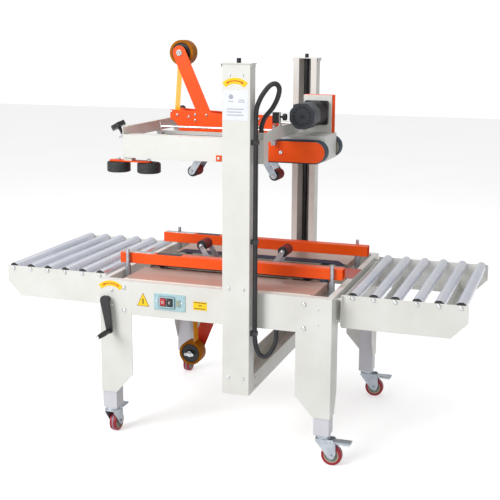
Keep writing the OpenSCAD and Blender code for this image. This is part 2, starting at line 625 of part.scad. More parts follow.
// ---- switches ----
module switch_box() placed() color("#B9D9DF") {
  y = -bed_deep;
  difference() {
    union() {
      box(-221, -99, y - 3, y, bed_top - 95, bed_top - 34);
      box(-199, -141, y - 8, y - 3, bed_top - 84, bed_top - 44);
    }
    box(-195, -171, y - 9, y - 2, bed_top - 80, bed_top - 48);
    box(-169, -145, y - 9, y - 2, bed_top - 80, bed_top - 48);
  }
  rod_y(-126, bed_top - 63, y - 5, y - 3, 16);
  for (x = [-215, -105], z = [bed_top - 89, bed_top - 40]) dome_y(x, z, y - 3, 6);
}
module push(x0, c) placed() color(c)
  box(x0 + gap, x0 + 24 - gap, -bed_deep - 13, -bed_deep - 5.6, bed_top - 80 + gap, bed_top - 48 - gap);
module stop_button() push(-195, "#C8202A");
module start_button() push(-169, "#222326");

module head_knob() placed() color("#1C1D20") {
  translate(knob_at) rotate([0, -30, 0]) {
    // six-lobed grip on a plain stem
    translate([0, 0, 26]) linear_extrude(16)
      polygon([for (a = [0:5:355]) (26 + 3 * cos(6 * a)) * [cos(a), sin(a)]]);
    translate([0, 0, gap]) cylinder(h = 26, d = 12);
  }
}

// ---- conduit, clipped to the front column ----
cx = col_right + 14;
cy = -col_y - 32;
// the loop from the gland over to the column, the straight run, and the hook back to the bed's box
over = [[-6, 78, 130.4], [-6, 78, 150], [6, 78, 182], [34, 76, 216], [54, 69, 252], [62, 59, 282],
  [54, 47, 298], [38, 37, 294], [22, 27, 274], [8, 15, 246], [-1, 6, 210], [0, 0, 160], [0, 0, 104]];
hook = [[1, 0, -31], [6, 4, -66], [16, 10, -89], [30, 16, -97], [44, 24, -89], [56, 34, -69],
  [63, 44, -45], [64, 48, -23], [64, 48, -gap]];
run = (hz + 95 - panel_low) / 11;
route = concat([for (p = over) [cx + p[0], cy + p[1], hz + p[2]]],
  [for (k = [1:11]) [cx, cy, hz + 104 - k * run]],
  [for (p = hook) [cx + p[0], cy + p[1], panel_low + p[2]]]);
function unit(v) = v / norm(v);
function heading(i) = unit(route[min(i + 1, len(route) - 1)] - route[max(i - 1, 0)]);
function ring(i, r, n) = let (h = heading(i), a = unit(cross(h, [0.3, 1, 0.05])), b = cross(h, a))
  [for (k = [0:n - 1]) route[i] + r * cos(360 * k / n) * a + r * sin(360 * k / n) * b];
module tube(r, n) {
  m = len(route);
  polyhedron(points = [for (i = [0:m - 1]) each ring(i, r, n)],
    faces = concat([[for (k = [0:n - 1]) k]],
      [for (i = [0:m - 2], k = [0:n - 1], f = [0, 1]) f == 0
        ? [i * n + k, (i + 1) * n + k, (i + 1) * n + (k + 1) % n]
        : [i * n + k, (i + 1) * n + (k + 1) % n, i * n + (k + 1) % n]],
      [[for (k = [n - 1:-1:0]) (m - 1) * n + k]]));
}
module conduit() placed() color("#222326") {
  tube(9, 10);
  for (z = [hz + 104, bed_top + 188, panel_low - 11]) box(col_right, cx, cy - 9, cy + 9, z - 9, z + 9);
}

bed_frame();
bed_decks();
legs_outer();
inner_legs();
fork_fl();
fork_fr();
fork_rl();
fork_rr();
wheel_fl();
wheel_fr();
wheel_rl();
wheel_rr();
pedal_fl();
pedal_fr();
pedal_rl();
pedal_rr();
in_roller_1();
in_roller_2();
in_roller_3();
in_roller_4();
in_roller_5();
in_roller_6();
out_roller_1();
out_roller_2();
out_roller_3();
out_roller_4();
out_roller_5();
out_roller_6();
infeed_table();
outfeed_table();
column_front();
column_rear();
base_channel();
lead_screw_front();
lead_screw_rear();
head_frame();
upper_drive();
upper_belts();
gearmotor();
upper_cartridge();
upper_tape_roll();
upper_arm_in();
upper_arm_out();
press_wheel_1();
press_wheel_2();
lower_drive();
lower_belts();
lower_cartridge();
lower_tape_roll();
lower_arm_in();
lower_arm_out();
guide_front();
guide_rear();
crank();
switch_box();
stop_button();
start_button();
conduit();
head_knob();
tab_clamp();
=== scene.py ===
"""Looks of a carton sealing machine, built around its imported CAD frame.

The machine has a belt-driven roller bed on casters, two columns, a taping head that
climbs them, side guides and a hand crank.  Sizes in the classes are millimetres in the
bed's own frame: X along the travel, Y to the rear, Z up, with the zero of X and Y in the
middle of the bed.  Workshop turns them into the frame's metres.
"""

import json
import logging
import math
from dataclasses import dataclass, field
from enum import Enum

import bmesh
import bpy
import numpy as np
from mathutils import Matrix, Vector

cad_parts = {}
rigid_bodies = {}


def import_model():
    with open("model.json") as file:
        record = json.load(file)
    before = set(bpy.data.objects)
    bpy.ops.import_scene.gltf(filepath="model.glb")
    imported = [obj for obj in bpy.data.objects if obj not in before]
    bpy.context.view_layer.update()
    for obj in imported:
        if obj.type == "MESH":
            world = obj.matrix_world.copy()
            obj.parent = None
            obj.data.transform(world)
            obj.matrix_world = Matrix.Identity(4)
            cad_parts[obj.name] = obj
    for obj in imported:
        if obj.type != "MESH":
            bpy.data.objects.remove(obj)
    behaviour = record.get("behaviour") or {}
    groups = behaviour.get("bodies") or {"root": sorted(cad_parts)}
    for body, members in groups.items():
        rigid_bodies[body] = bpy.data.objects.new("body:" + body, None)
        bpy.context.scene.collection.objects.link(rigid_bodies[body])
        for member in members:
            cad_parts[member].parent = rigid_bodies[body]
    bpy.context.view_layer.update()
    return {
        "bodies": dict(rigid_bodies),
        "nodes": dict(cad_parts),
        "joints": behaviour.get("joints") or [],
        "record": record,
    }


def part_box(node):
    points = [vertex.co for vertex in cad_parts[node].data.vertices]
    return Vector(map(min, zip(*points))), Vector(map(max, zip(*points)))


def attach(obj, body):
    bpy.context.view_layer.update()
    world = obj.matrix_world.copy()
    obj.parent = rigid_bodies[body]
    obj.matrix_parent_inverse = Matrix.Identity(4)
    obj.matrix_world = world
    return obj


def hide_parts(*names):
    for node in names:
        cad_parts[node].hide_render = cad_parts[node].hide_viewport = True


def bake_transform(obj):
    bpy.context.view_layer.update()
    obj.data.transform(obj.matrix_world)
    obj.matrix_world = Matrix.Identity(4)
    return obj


LOG = logging.getLogger("carton_sealer")
MM = 0.001
Point = tuple[float, float, float]
Outline = list[tuple[float, float]]
Faces = list[tuple[int, ...]]
ALONG: Point = (1, 0, 0)
AFT: Point = (0, 1, 0)
FORE: Point = (0, -1, 0)
UP: Point = (0, 0, 1)
SOFT_EDGE_MM = 0.9


# ---------------------------------------------------------------- colour and nodes


def linear(code: str) -> tuple[float, float, float, float]:
    """Turns an sRGB hex value into linear light.

    Args:
        code: six hex digits with a leading hash.

    Returns:
        Linear red, green and blue with an alpha of 1.
    """
    parts = [int(code[i : i + 2], 16) / 255 for i in (1, 3, 5)]
    light = [p / 12.92 if p <= 0.04045 else ((p + 0.055) / 1.055) ** 2.4 for p in parts]
    return light[0], light[1], light[2], 1.0


def add(tree: bpy.types.NodeTree, kind: str, plugs: dict | None = None, **settings) -> bpy.types.Node:
    """Adds one node with its settings and links.

    Args:
        tree: the material's node tree.
        kind: the shader node's type name, without its first word.
        plugs: input name or index to a constant or to a socket that feeds it.
        settings: the node's own attributes.

    Returns:
        The new node.
    """
    made = tree.nodes.new("ShaderNode" + kind)
    for key, value in settings.items():
        setattr(made, key, value)
    for key, value in (plugs or {}).items():
        if isinstance(value, bpy.types.NodeSocket):
            tree.links.new(value, made.inputs[key])
        else:
            made.inputs[key].default_value = value
    return made


class Surface(Enum):
    """How a finish was made, which decides its pattern."""

    COATED = "powder coated or painted"
    PLATED = "zinc plated, softly mottled"
    TURNED = "turned or wound, with lines round the axis"
    DRAWN = "drawn along X"
    SPUN = "polished while turning round Y"
    CAST = "cast or pressed, with a coarse skin"
    MOULDED = "moulded plastic or rubber"
    RIBBED = "rubber with ribs across X"


@dataclass(frozen=True)
class Finish:
    """One finish: its colours, its gloss and the real size of its pattern."""

    name: str
    base: str
    shade: str
    surface: Surface
    rough: float
    metallic: float = 0.0
    grain_mm: float = 2.0
    relief_mm: float = 0.03
    coat: float = 0.0
    patch_mm: float = 140.0
    shine: float = 0.5
    # Emission: on the floor it makes an evenly bright stage; on the tape webs it is painted light.
    glow: float = 0.0

    def build(self) -> bpy.types.Material:
        """Makes the finish's node material, or returns it if it is made already."""
        ready = bpy.data.materials.get(self.name)
        if ready:
            return ready
        mat = bpy.data.materials.new(self.name)
        mat.use_nodes = True
        mat.diffuse_color = linear(self.base)
        tree = mat.node_tree
        tree.nodes.clear()
        place = add(tree, "TexCoord").outputs["Object"]
        patch = add(tree, "TexNoise", {"Vector": place, "Scale": 1000 / self.patch_mm,
                                                "Detail": 3.0, "Roughness": 0.55})
        fine = self.pattern(tree, place)
        blend = add(tree, "MapRange", {"Value": patch.outputs["Fac"], "From Min": 0.35,
                                                "From Max": 0.75, "To Min": 0.0, "To Max": 0.75})
        speck = add(tree, "MapRange", {"Value": fine, "From Min": 0.3, "From Max": 0.8,
                                                "To Min": 0.0, "To Max": 0.35})
        both = add(tree, "Math", {0: blend.outputs[0], 1: speck.outputs[0]}, operation="ADD",
                   use_clamp=True)
        tint = add(tree, "Mix", {"Factor": both.outputs[0], "A": linear(self.base),
                                          "B": linear(self.shade)}, data_type="RGBA")
        gloss = add(tree, "MapRange", {"Value": patch.outputs["Fac"], "From Min": 0.3,
                                                "From Max": 0.7, "To Min": max(self.rough - 0.06, 0.03),
                                                "To Max": min(self.rough + 0.08, 1.0)})
        soft = add(tree, "Bevel", {"Radius": SOFT_EDGE_MM * MM}, samples=4)
        bump = add(tree, "Bump", {"Height": fine, "Strength": 0.6, "Distance": self.relief_mm * MM,
                                           "Normal": soft.outputs["Normal"]})
        plugs = {"Base Color": tint.outputs["Result"], "Roughness": gloss.outputs[0],
                 "Normal": bump.outputs["Normal"], "Metallic": self.metallic,
                 "Specular IOR Level": self.shine}
        if self.coat:
            plugs |= {"Coat Weight": self.coat, "Coat Roughness": 0.12}
        # Emission glow: the floor's even brightness, and painted light on the tape webs.
        if self.glow:
            plugs |= {"Emission Color": linear(self.base), "Emission Strength": self.glow}
        skin = add(tree, "BsdfPrincipled", plugs)
        add(tree, "OutputMaterial", {"Surface": skin.outputs[0]})
        return mat

    def pattern(self, tree: bpy.types.NodeTree, place: bpy.types.NodeSocket) -> bpy.types.NodeSocket:
        """Adds the fine pattern that the surface was left with.

        Args:
            tree: the material's node tree.
            place: the Object coordinates.

        Returns:
            A value from 0 to 1 that drives colour specks and relief.
        """
        rate = 1000 / self.grain_mm
        if self.surface is Surface.TURNED:
            along = add(tree, "Attribute", attribute_name="along_mm").outputs["Fac"]
            step = add(tree, "Math", {0: along, 1: 1 / self.grain_mm}, operation="MULTIPLY")
            line = add(tree, "TexNoise", {"W": step.outputs[0], "Scale": 1.0, "Detail": 2.0},
                       noise_dimensions="1D")
            return line.outputs["Fac"]
        if self.surface is Surface.DRAWN:
            pull = add(tree, "Mapping", {"Vector": place, "Scale": (0.03, 1.0, 1.0)})
            lines = add(tree, "TexNoise", {"Vector": pull.outputs[0], "Scale": rate, "Detail": 3.0})
            return lines.outputs["Fac"]
        if self.surface is Surface.SPUN:
            ring = add(tree, "Mapping", {"Vector": place, "Scale": (0.04, 1.0, 0.04)})
            lines = add(tree, "TexNoise", {"Vector": ring.outputs[0], "Scale": rate, "Detail": 2.0})
            return lines.outputs["Fac"]
        if self.surface is Surface.RIBBED:
            wave = add(tree, "TexWave", {"Vector": place, "Scale": rate / 20, "Distortion": 0.3,
                                                  "Detail": 1.0}, bands_direction="X")
            return wave.outputs["Fac"]
        if self.surface is Surface.PLATED:
            cell = add(tree, "TexVoronoi", {"Vector": place, "Scale": rate / 4}, feature="SMOOTH_F1")
            return cell.outputs["Distance"]
        detail = 4.0 if self.surface is Surface.CAST else 2.0
        skin = add(tree, "TexNoise", {"Vector": place, "Scale": rate, "Detail": detail})
        return skin.outputs["Fac"]


# Powder coat on sheet steel: an even satin skin with a faint orange peel.
WHITE_COAT = Finish("powder_coat_white", "#ECECE8", "#DEDDD6", Surface.COATED, 0.36, relief_mm=0.02)
LEG_COAT = Finish("powder_coat_leg", "#DCDBE2", "#CFCED6", Surface.COATED, 0.36, relief_mm=0.02)
ORANGE_COAT = Finish("powder_coat_orange", "#FF5C12", "#F24E0C", Surface.COATED, 0.36, relief_mm=0.02,
                     shine=0.3)
RED_COAT = Finish("powder_coat_red", "#DA3A20", "#C42E16", Surface.COATED, 0.36, relief_mm=0.02)
# A pinkish red plate on the bed's end member.
PINK_COAT = Finish("pinkish_red_plate", "#C46A60", "#B45A50", Surface.COATED, 0.5, relief_mm=0.02)
# The deck lips: a real folded edge, but painted lighter than the white coat as a highlight along the deck's
# edge.
LIP_HIGHLIGHT_COAT = Finish("powder_coat_cream_painted_highlight", "#F6F0E4", "#ECE4D4", Surface.COATED, 0.36, relief_mm=0.02)
# Deck plates under a matt protective film.
DECK_FILM = Finish("deck_film", "#D2BBB0", "#C6ADA2", Surface.DRAWN, 0.48, grain_mm=1.2)
# Zinc plate and drawn or turned steel.
ZINC = Finish("zinc_plate", "#BCC2C9", "#9AA2AC", Surface.PLATED, 0.34, 0.85, 4.0, 0.01, patch_mm=40)
ROLLER_STEEL = Finish("zinc_roller_tube", "#E6E8F0", "#D2D5E2", Surface.SPUN, 0.28, 0.85, 1.2, 0.006,
                      patch_mm=220)
BRIGHT_STEEL = Finish("bright_bolt_steel", "#D8DADC", "#B4B8BC", Surface.CAST, 0.2, 1.0, 1.0, 0.005,
                      patch_mm=12)
GREY_STEEL = Finish("mill_steel_grey", "#A8A598", "#8F8C80", Surface.DRAWN, 0.45, 0.6, 2.0, 0.01,
                    patch_mm=60)
DARK_STEEL = Finish("blackened_steel", "#303237", "#202226", Surface.PLATED, 0.42, 0.7, 2.0, 0.01,
                    patch_mm=30)
# Rubber and polyurethane.
BELT = Finish("belt_rubber_blue", "#1F3A52", "#172C40", Surface.RIBBED, 0.62, 0.0, 3.0, 0.12, patch_mm=60)
TYRE = Finish("polyurethane_crimson", "#A81C2E", "#8E1626", Surface.MOULDED, 0.42, 0.0, 1.5, 0.02,
              patch_mm=30)
STRIPE = Finish("tyre_stripe_lilac", "#A79FAF", "#8F8899", Surface.MOULDED, 0.5, 0.0, 1.5, 0.02,
                patch_mm=20)
ROLL_RUBBER = Finish("ribbed_rubber_red", "#8E2A22", "#6E1D18", Surface.TURNED, 0.55, 0.0, 1.5, 0.05,
                     patch_mm=30)
BLACK_RUBBER = Finish("black_rubber", "#26272B", "#1A1B1E", Surface.MOULDED, 0.55, 0.0, 1.2, 0.03,
                      patch_mm=30)
# Moulded plastics.
BLACK_ABS = Finish("moulded_abs_black", "#222326", "#17181A", Surface.MOULDED, 0.38, 0.0, 1.0, 0.02,
                   patch_mm=30)
RED_ABS = Finish("moulded_abs_red", "#C8202A", "#AC1820", Surface.MOULDED, 0.3, 0.0, 1.0, 0.01, 0.3, 20)
HUB_NYLON = Finish("nylon_hub_grey", "#8F9A92", "#7C867F", Surface.MOULDED, 0.5, 0.0, 1.0, 0.02,
                   patch_mm=15)
CREAM_NYLON = Finish("nylon_ring_beige", "#D2C3A6", "#BCAD90", Surface.MOULDED, 0.5, 0.0, 1.0, 0.02,
                     patch_mm=15)
SWITCH_PLATE = Finish("switch_plate_blue", "#B9D9DF", "#A8CAD1", Surface.COATED, 0.36, relief_mm=0.015)
BEZEL = Finish("switch_bezel_grey", "#8FAAB4", "#7F9AA5", Surface.MOULDED, 0.4, 0.0, 1.0, 0.02, patch_mm=20)
LAMP = Finish("lamp_lens", "#A9B294", "#8C9678", Surface.MOULDED, 0.15, 0.0, 2.0, 0.01, 0.5, 10)
# Packing tape: glossy amber film wound in hundreds of turns.
TAPE = Finish("wound_tape_amber", "#BC740C", "#945206", Surface.TURNED, 0.42, 0.0, 0.8, 0.02, 0.0, 60,
              shine=0.05)
# The loose tape webs are painted light: a paler, yellower copy of the wound tape with a glow, standing in for
# light shining through the thin film.
LIT_TAPE_WEB = Finish("tape_film_yellow_painted_glow", "#FFCC1E", "#F6B812", Surface.DRAWN, 0.25, 0.0, 2.0, 0.01, 0.2, 60,
                  glow=0.55)
# The lower web is painted light as well, with a weaker glow.
LIT_LOW_WEB = Finish("tape_film_amber_painted_glow", "#DA9A1A", "#C07F10", Surface.DRAWN, 0.25, 0.0, 2.0, 0.01, 0.2, 60,
                 glow=0.15)
CARD = Finish("kraft_card_core", "#3A2E28", "#2A211D", Surface.CAST, 0.8, 0.0, 0.8, 0.05, patch_mm=10)
# Cast aluminium of the motor.
MOTOR_CAST = Finish("cast_motor_grey", "#4C5157", "#3E4248", Surface.CAST, 0.5, 0.2, 1.2, 0.05, patch_mm=30,
                    shine=0.3)
# Printed labels on vinyl.
YELLOW_VINYL = Finish("vinyl_yellow", "#FFD60A", "#F5C800", Surface.COATED, 0.3, relief_mm=0.01,
                      patch_mm=60)
PRINT_BROWN = Finish("vinyl_print_brown", "#8A6410", "#77540A", Surface.COATED, 0.4, relief_mm=0.01,
                     patch_mm=30)
RED_VINYL = Finish("vinyl_red", "#DE3A1C", "#CC2E14", Surface.COATED, 0.3, relief_mm=0.01, patch_mm=60)
WHITE_VINYL = Finish("vinyl_white", "#F2F4FA", "#E6E9F2", Surface.COATED, 0.3, relief_mm=0.01, patch_mm=60)
GREY_VINYL = Finish("vinyl_print_grey", "#B9BCC6", "#A6AAB6", Surface.COATED, 0.4, relief_mm=0.01,
                    patch_mm=30)
FLOOR = Finish("studio_floor", "#FCFCFC", "#F8F8F8", Surface.COATED, 0.9, relief_mm=0.01, patch_mm=900,
               shine=0.05,
               glow=0.46)


# ---------------------------------------------------------------- shapes


@dataclass
class Shell:
    """A closed surface in millimetres, with how far each point lies along its profile."""

    points: np.ndarray
    faces: Faces
    along: np.ndarray

    def mirrored(self) -> "Shell":
        """Returns a copy mirrored front to back, with its faces turned the right way."""
        return Shell(self.points * np.array([1, -1, 1]), [f[::-1] for f in self.faces], self.along)


def both(shell: Shell) -> list[Shell]:
    """A front shell and its mirror image at the rear."""
    return [shell, shell.mirrored()]


def axes_of(direction: Point) -> tuple[np.ndarray, np.ndarray, np.ndarray]:
    """Two unit vectors across a direction, and the unit direction itself."""
    w = np.array(direction, float)
    w /= np.linalg.norm(w)
    helper = np.array([0, 0, 1.0]) if abs(w[2]) < 0.9 else np.array([1.0, 0, 0])
    u = np.cross(helper, w)
    u /= np.linalg.norm(u)
    return u, np.cross(w, u), w


def grid_faces(rows: int, cols: int, wrap_rows: bool) -> Faces:
    """Quads of a grid whose columns close round; the rows close too if asked."""
    r = np.arange(rows if wrap_rows else rows - 1)[:, None]
    c = np.arange(cols)[None, :]
    r1, c1 = (r + 1) % rows, (c + 1) % cols
    quads = np.stack([r * cols + c, r * cols + c1, r1 * cols + c1, r1 * cols + c], -1)
    return [tuple(q) for q in quads.reshape(-1, 4).tolist()]


def lathe(profile: Outline, at: Point, along: Point, turns: int = 48) -> Shell:
    """Turns a closed profile round an axis.

    A point of the surface is the axis point at the profile's height, plus the profile's
    radius times (cos a, sin a) across the axis, for a from 0 to a full turn.

    Args:
        profile: (radius, distance along the axis), in order round the section.
        at: the axis' zero point.
        along: the axis' direction.
        turns: how many faces go round.

    Returns:
        The shell; a profile that starts and ends on the axis is closed there.
    """
    u, v, w = axes_of(along)
    section = np.array(profile, float)
    angle = np.linspace(0, 2 * math.pi, turns, endpoint=False)
    ring = np.cos(angle)[:, None] * u + np.sin(angle)[:, None] * v
    points = np.array(at) + section[:, :1, None] * ring[None] + section[:, 1, None, None] * w
    open_ends = section[0, 0] == 0 and section[-1, 0] == 0
    steps = np.linalg.norm(np.diff(section, axis=0, prepend=section[:1]), axis=1).cumsum()
    faces = grid_faces(len(section), turns, not open_ends)
    return Shell(points.reshape(-1, 3), faces, np.repeat(steps, turns))


def rod(at: Point, along: Point, length: float, radius: float, chamfer: float = 0.6,
        turns: int = 32) -> Shell:
    """A round bar from a point along a direction, with chamfered ends."""
    c = min(chamfer, radius * 0.4, length * 0.4)
    return lathe([(0, 0), (radius - c, 0), (radius, c), (radius, length - c), (radius - c, length),
                  (0, length)],
                 at, along, turns)


def washer(at: Point, along: Point, length: float, outer: float, inner: float, turns: int = 48) -> Shell:
    """A ring of rectangular section with small chamfers."""
    c = min(0.5, length * 0.3)
    return lathe([(inner, 0), (outer - c, 0), (outer, c), (outer, length - c), (outer - c, length),
                  (inner, length)],
                 at, along, turns)


def dome(at: Point, along: Point, radius: float) -> Shell:
    """A button-head bolt: a short cylinder under a low dome with a hexagon socket."""
    arc = np.linspace(0, math.pi / 2, 7)
    cap = [(radius * math.cos(a), radius * (0.3 + 0.55 * math.sin(a))) for a in arc[:-2]]
    socket = radius * 0.34
    return lathe([(0, 0), (radius, 0)] + cap + [(socket, radius * 0.8), (socket, radius * 0.45),
                                               (0, radius * 0.4)], at, along, 24)


def prism(outline: Outline, plane: str, low: float, high: float) -> Shell:
    """A flat plate: an outline in a plane, carried along the plane's normal.

    Args:
        outline: corners in order, in the plane's two axes.
        plane: "xy", "xz" or "yz".
        low: where the plate starts along the third axis.
        high: where it ends.

    Returns:
        The closed plate.
    """
    flat = np.array(outline, float)
    count = len(flat)
    axis = {"xy": (0, 1, 2), "xz": (0, 2, 1), "yz": (1, 2, 0)}[plane]
    points = np.zeros((2 * count, 3))
    for side, level in enumerate((low, high)):
        rows = slice(side * count, (side + 1) * count)
        points[rows, axis[0]], points[rows, axis[1]], points[rows, axis[2]] = flat[:, 0], flat[:, 1], level
    faces = [tuple(range(count - 1, -1, -1)), tuple(range(count, 2 * count))]
    faces += [(i, (i + 1) % count, (i + 1) % count + count, i + count) for i in range(count)]
    return Shell(points, faces, np.zeros(2 * count))


def collar(outer: Outline, inner: Outline, low: float, high: float) -> Shell:
    """A flat ring in the X-Z plane between two outlines with equally many corners."""
    count = len(outer)
    points = [(x, y, z) for y in (low, high) for ring in (outer, inner) for x, z in ring]
    faces: Faces = []
    for i in range(count):
        j, n = (i + 1) % count, 2 * count
        faces += [(i, j, j + count, i + count), (i + n, i + n + count, j + n + count, j + n),
                  (i, i + n, j + n, j),
                  (i + count, j + count, j + n + count, i + n + count)]
    return Shell(np.array(points, float), faces, np.zeros(len(points)))


def block(x0: float, x1: float, y0: float, y1: float, z0: float, z1: float) -> Shell:
    """A rectangular block between two corners."""
    return prism([(x0, y0), (x1, y0), (x1, y1), (x0, y1)], "xy", z0, z1)


def arc_points(cx: float, cz: float, r: float, a0: float, a1: float, count: int) -> Outline:
    """Points on a circle from one angle to another, in degrees."""
    return [(cx + r * math.cos(math.radians(a)), cz + r * math.sin(math.radians(a)))
            for a in np.linspace(a0, a1, count)]


def capsule(xa: float, za: float, xb: float, zb: float, r: float) -> Outline:
    """Outline of a slanted bar with round ends."""
    tilt = math.degrees(math.atan2(zb - za, xb - xa))
    return arc_points(xa, za, r, tilt + 90, tilt + 270, 19) + arc_points(xb, zb, r, tilt - 90, tilt + 90,
                                                                         19)


def tapered(xa: float, za: float, ra: float, xb: float, zb: float, rb: float) -> Outline:
    """Outline of a bar with round ends of two sizes, joined by straight sides."""
    tilt = math.degrees(math.atan2(zb - za, xb - xa))
    lean = math.degrees(math.asin((ra - rb) / math.hypot(xb - xa, zb - za)))
    return (arc_points(xa, za, ra, tilt + 90 - lean, tilt + 270 + lean, 19)
            + arc_points(xb, zb, rb, tilt - 90 + lean, tilt + 90 - lean, 19))


def rounded(x0: float, x1: float, z0: float, z1: float, r: float) -> Outline:
    """Outline of a rectangle with rounded corners."""
    return (arc_points(x1 - r, z0 + r, r, -90, 0, 5) + arc_points(x1 - r, z1 - r, r, 0, 90, 5)
            + arc_points(x0 + r, z1 - r, r, 90, 180, 5) + arc_points(x0 + r, z0 + r, r, 180, 270, 5))


def hose(route: list[Point], radius: float, ridge: float, pitch: float, turns: int = 16) -> Shell:
    """A corrugated tube along a route.

    The route is resampled evenly on a Catmull-Rom curve; each ring's radius is the mean
    radius plus the ridge height times the cosine of its place over the ridge pitch.

    Args:
        route: the centre line's points.
        radius: mean outside radius.
        ridge: half the ridge height.
        pitch: distance from ridge to ridge.
        turns: faces round the tube.

    Returns:
        The closed tube.
    """
    p = np.array(route, float)
    p = np.vstack([2 * p[0] - p[1], p, 2 * p[-1] - p[-2]])
    t = np.linspace(0, 1, 24, endpoint=False)[:, None]
    spans = [0.5 * (2 * b + (c - a) * t + (2 * a - 5 * b + 4 * c - d) * t**2 + (3 * b - a - 3 * c + d) * t**3)
             for a, b, c, d in zip(p[:-3], p[1:-2], p[2:-1], p[3:])]
    line = np.vstack(spans + [p[-2:-1]])
    length = np.linalg.norm(np.diff(line, axis=0, prepend=line[:1]), axis=1).cumsum()
    even = np.arange(0, length[-1], pitch / 4)
    centre = np.stack([np.interp(even, length, line[:, k]) for k in range(3)], 1)
    heading = np.gradient(centre, axis=0)
    heading /= np.linalg.norm(heading, axis=1)[:, None]
    u = np.cross(heading, np.array([0.3, 1.0, 0.05]))
    u /= np.linalg.norm(u, axis=1)[:, None]
    v = np.cross(heading, u)
    size = radius + ridge * np.cos(2 * math.pi * even / pitch)
    angle = np.linspace(0, 2 * math.pi, turns, endpoint=False)
    ring = np.cos(angle)[None, :, None] * u[:, None] + np.sin(angle)[None, :, None] * v[:, None]
    points = (centre[:, None] + size[:, None, None] * ring).reshape(-1, 3)
    rows = len(centre)
    faces = grid_faces(rows, turns, False)
    faces += [tuple(range(turns - 1, -1, -1)), tuple(range((rows - 1) * turns, rows * turns))]
    return Shell(points, faces, np.repeat(even, turns))


class Workshop:
    """Puts finished pieces into the scene, in the frame's metres."""

    def __init__(self, frame: dict) -> None:
        """Takes the bed's middle from the frame as the zero of X and Y."""
        low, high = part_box("bed_frame")
        self.nodes = frame["nodes"]
        self.datum = np.array([(low.x + high.x) / 2, (low.y + high.y) / 2, 0.0])

    def place(self, x: float, y: float, z: float) -> Vector:
        """Turns millimetres in the bed's frame into the frame's metres."""
        return Vector((self.datum + np.array([x, y, z]) * MM).tolist())

    def piece(self, name: str, shells: list[Shell], finish: Finish, body: str = "frame",
              stands_for: tuple[str, ...] = (), edge: float = 0.0,
              crease: float = 35.0) -> bpy.types.Object:
        """Makes one piece from shells and lets it ride on a body.

        Args:
            name: the piece's name.
            shells: its closed surfaces, in millimetres.
            finish: its finish.
            body: the CAD body that carries it, or nothing for a piece that rides on no body.
            stands_for: the CAD nodes that it replaces.
            edge: width of the edge rounding in millimetres, 0 for none.
            crease: angle in degrees above which an edge stays sharp.

        Returns:
            The new object.
        """
        offset, faces = 0, []
        for shell in shells:
            faces += [tuple(i + offset for i in f) for f in shell.faces]
            offset += len(shell.points)
        points = np.vstack([s.points for s in shells]) * MM + self.datum
        mesh = bpy.data.meshes.new(name)
        mesh.from_pydata(points.tolist(), [], faces)
        track = mesh.attributes.new("along_mm", "FLOAT", "POINT")
        track.data.foreach_set("value", np.concatenate([s.along for s in shells]).astype(np.float32))
        work = bmesh.new()
        work.from_mesh(mesh)
        bmesh.ops.remove_doubles(work, verts=work.verts, dist=1e-7)
        bmesh.ops.dissolve_degenerate(work, edges=work.edges, dist=1e-8)
        bmesh.ops.recalc_face_normals(work, faces=work.faces)
        work.to_mesh(mesh)
        work.free()
        mesh.shade_smooth()
        mesh.set_sharp_from_angle(angle=math.radians(crease))
        made = bpy.data.objects.new(name, mesh)
        bpy.context.scene.collection.objects.link(made)
        mesh.materials.append(finish.build())
        if edge:
            bevel = made.modifiers.new("edge", "BEVEL")
            bevel.width, bevel.segments, bevel.limit_method = edge * MM, 2, "ANGLE"
            bevel.angle_limit = math.radians(crease)
        if body:
            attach(made, body)
        if stands_for:
            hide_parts(*stands_for)
        LOG.info("%s: %d faces on %s", name, len(mesh.polygons), body)
        return made

    def dress(self, node: str, finish: Finish) -> None:
        """Gives a CAD node its finish."""
        thing = self.nodes[node]
        thing.data.materials.clear()
        thing.data.materials.append(finish.build())
        LOG.info("%s: CAD node in %s", node, finish.name)


# ---------------------------------------------------------------- sub-assemblies


@dataclass
class Camera:
    """The camera and where it looks."""

    azimuth: float = 18.7548
    elevation: float = 10.8915
    roll: float = 0.3042
    lens: float = 71.6109
    at: Point = (1226.298, -3580.903, 1494.637)
    rise: float = -0.05

    def build(self, shop: Workshop) -> None:
        """Sets the camera: back is the unit vector from the machine towards it."""
        a, e, r = (math.radians(v) for v in (self.azimuth, self.elevation, self.roll))
        right = Vector((math.cos(a), math.sin(a), 0))
        back = Vector((math.sin(a) * math.cos(e), -math.cos(a) * math.cos(e), math.sin(e)))
        up = back.cross(right)
        side = math.cos(r) * right + math.sin(r) * up
        top = -math.sin(r) * right + math.cos(r) * up
        data = bpy.data.cameras.new("camera")
        data.lens, data.sensor_width, data.shift_y = self.lens, 36.0, self.rise
        data.clip_start, data.clip_end = 0.1, 60.0
        made = bpy.data.objects.new("camera", data)
        turn = Matrix((side, top, back)).transposed().to_4x4()
        made.matrix_world = Matrix.Translation(shop.place(*self.at)) @ turn
        bpy.context.scene.collection.objects.link(made)
        bpy.context.scene.camera = made


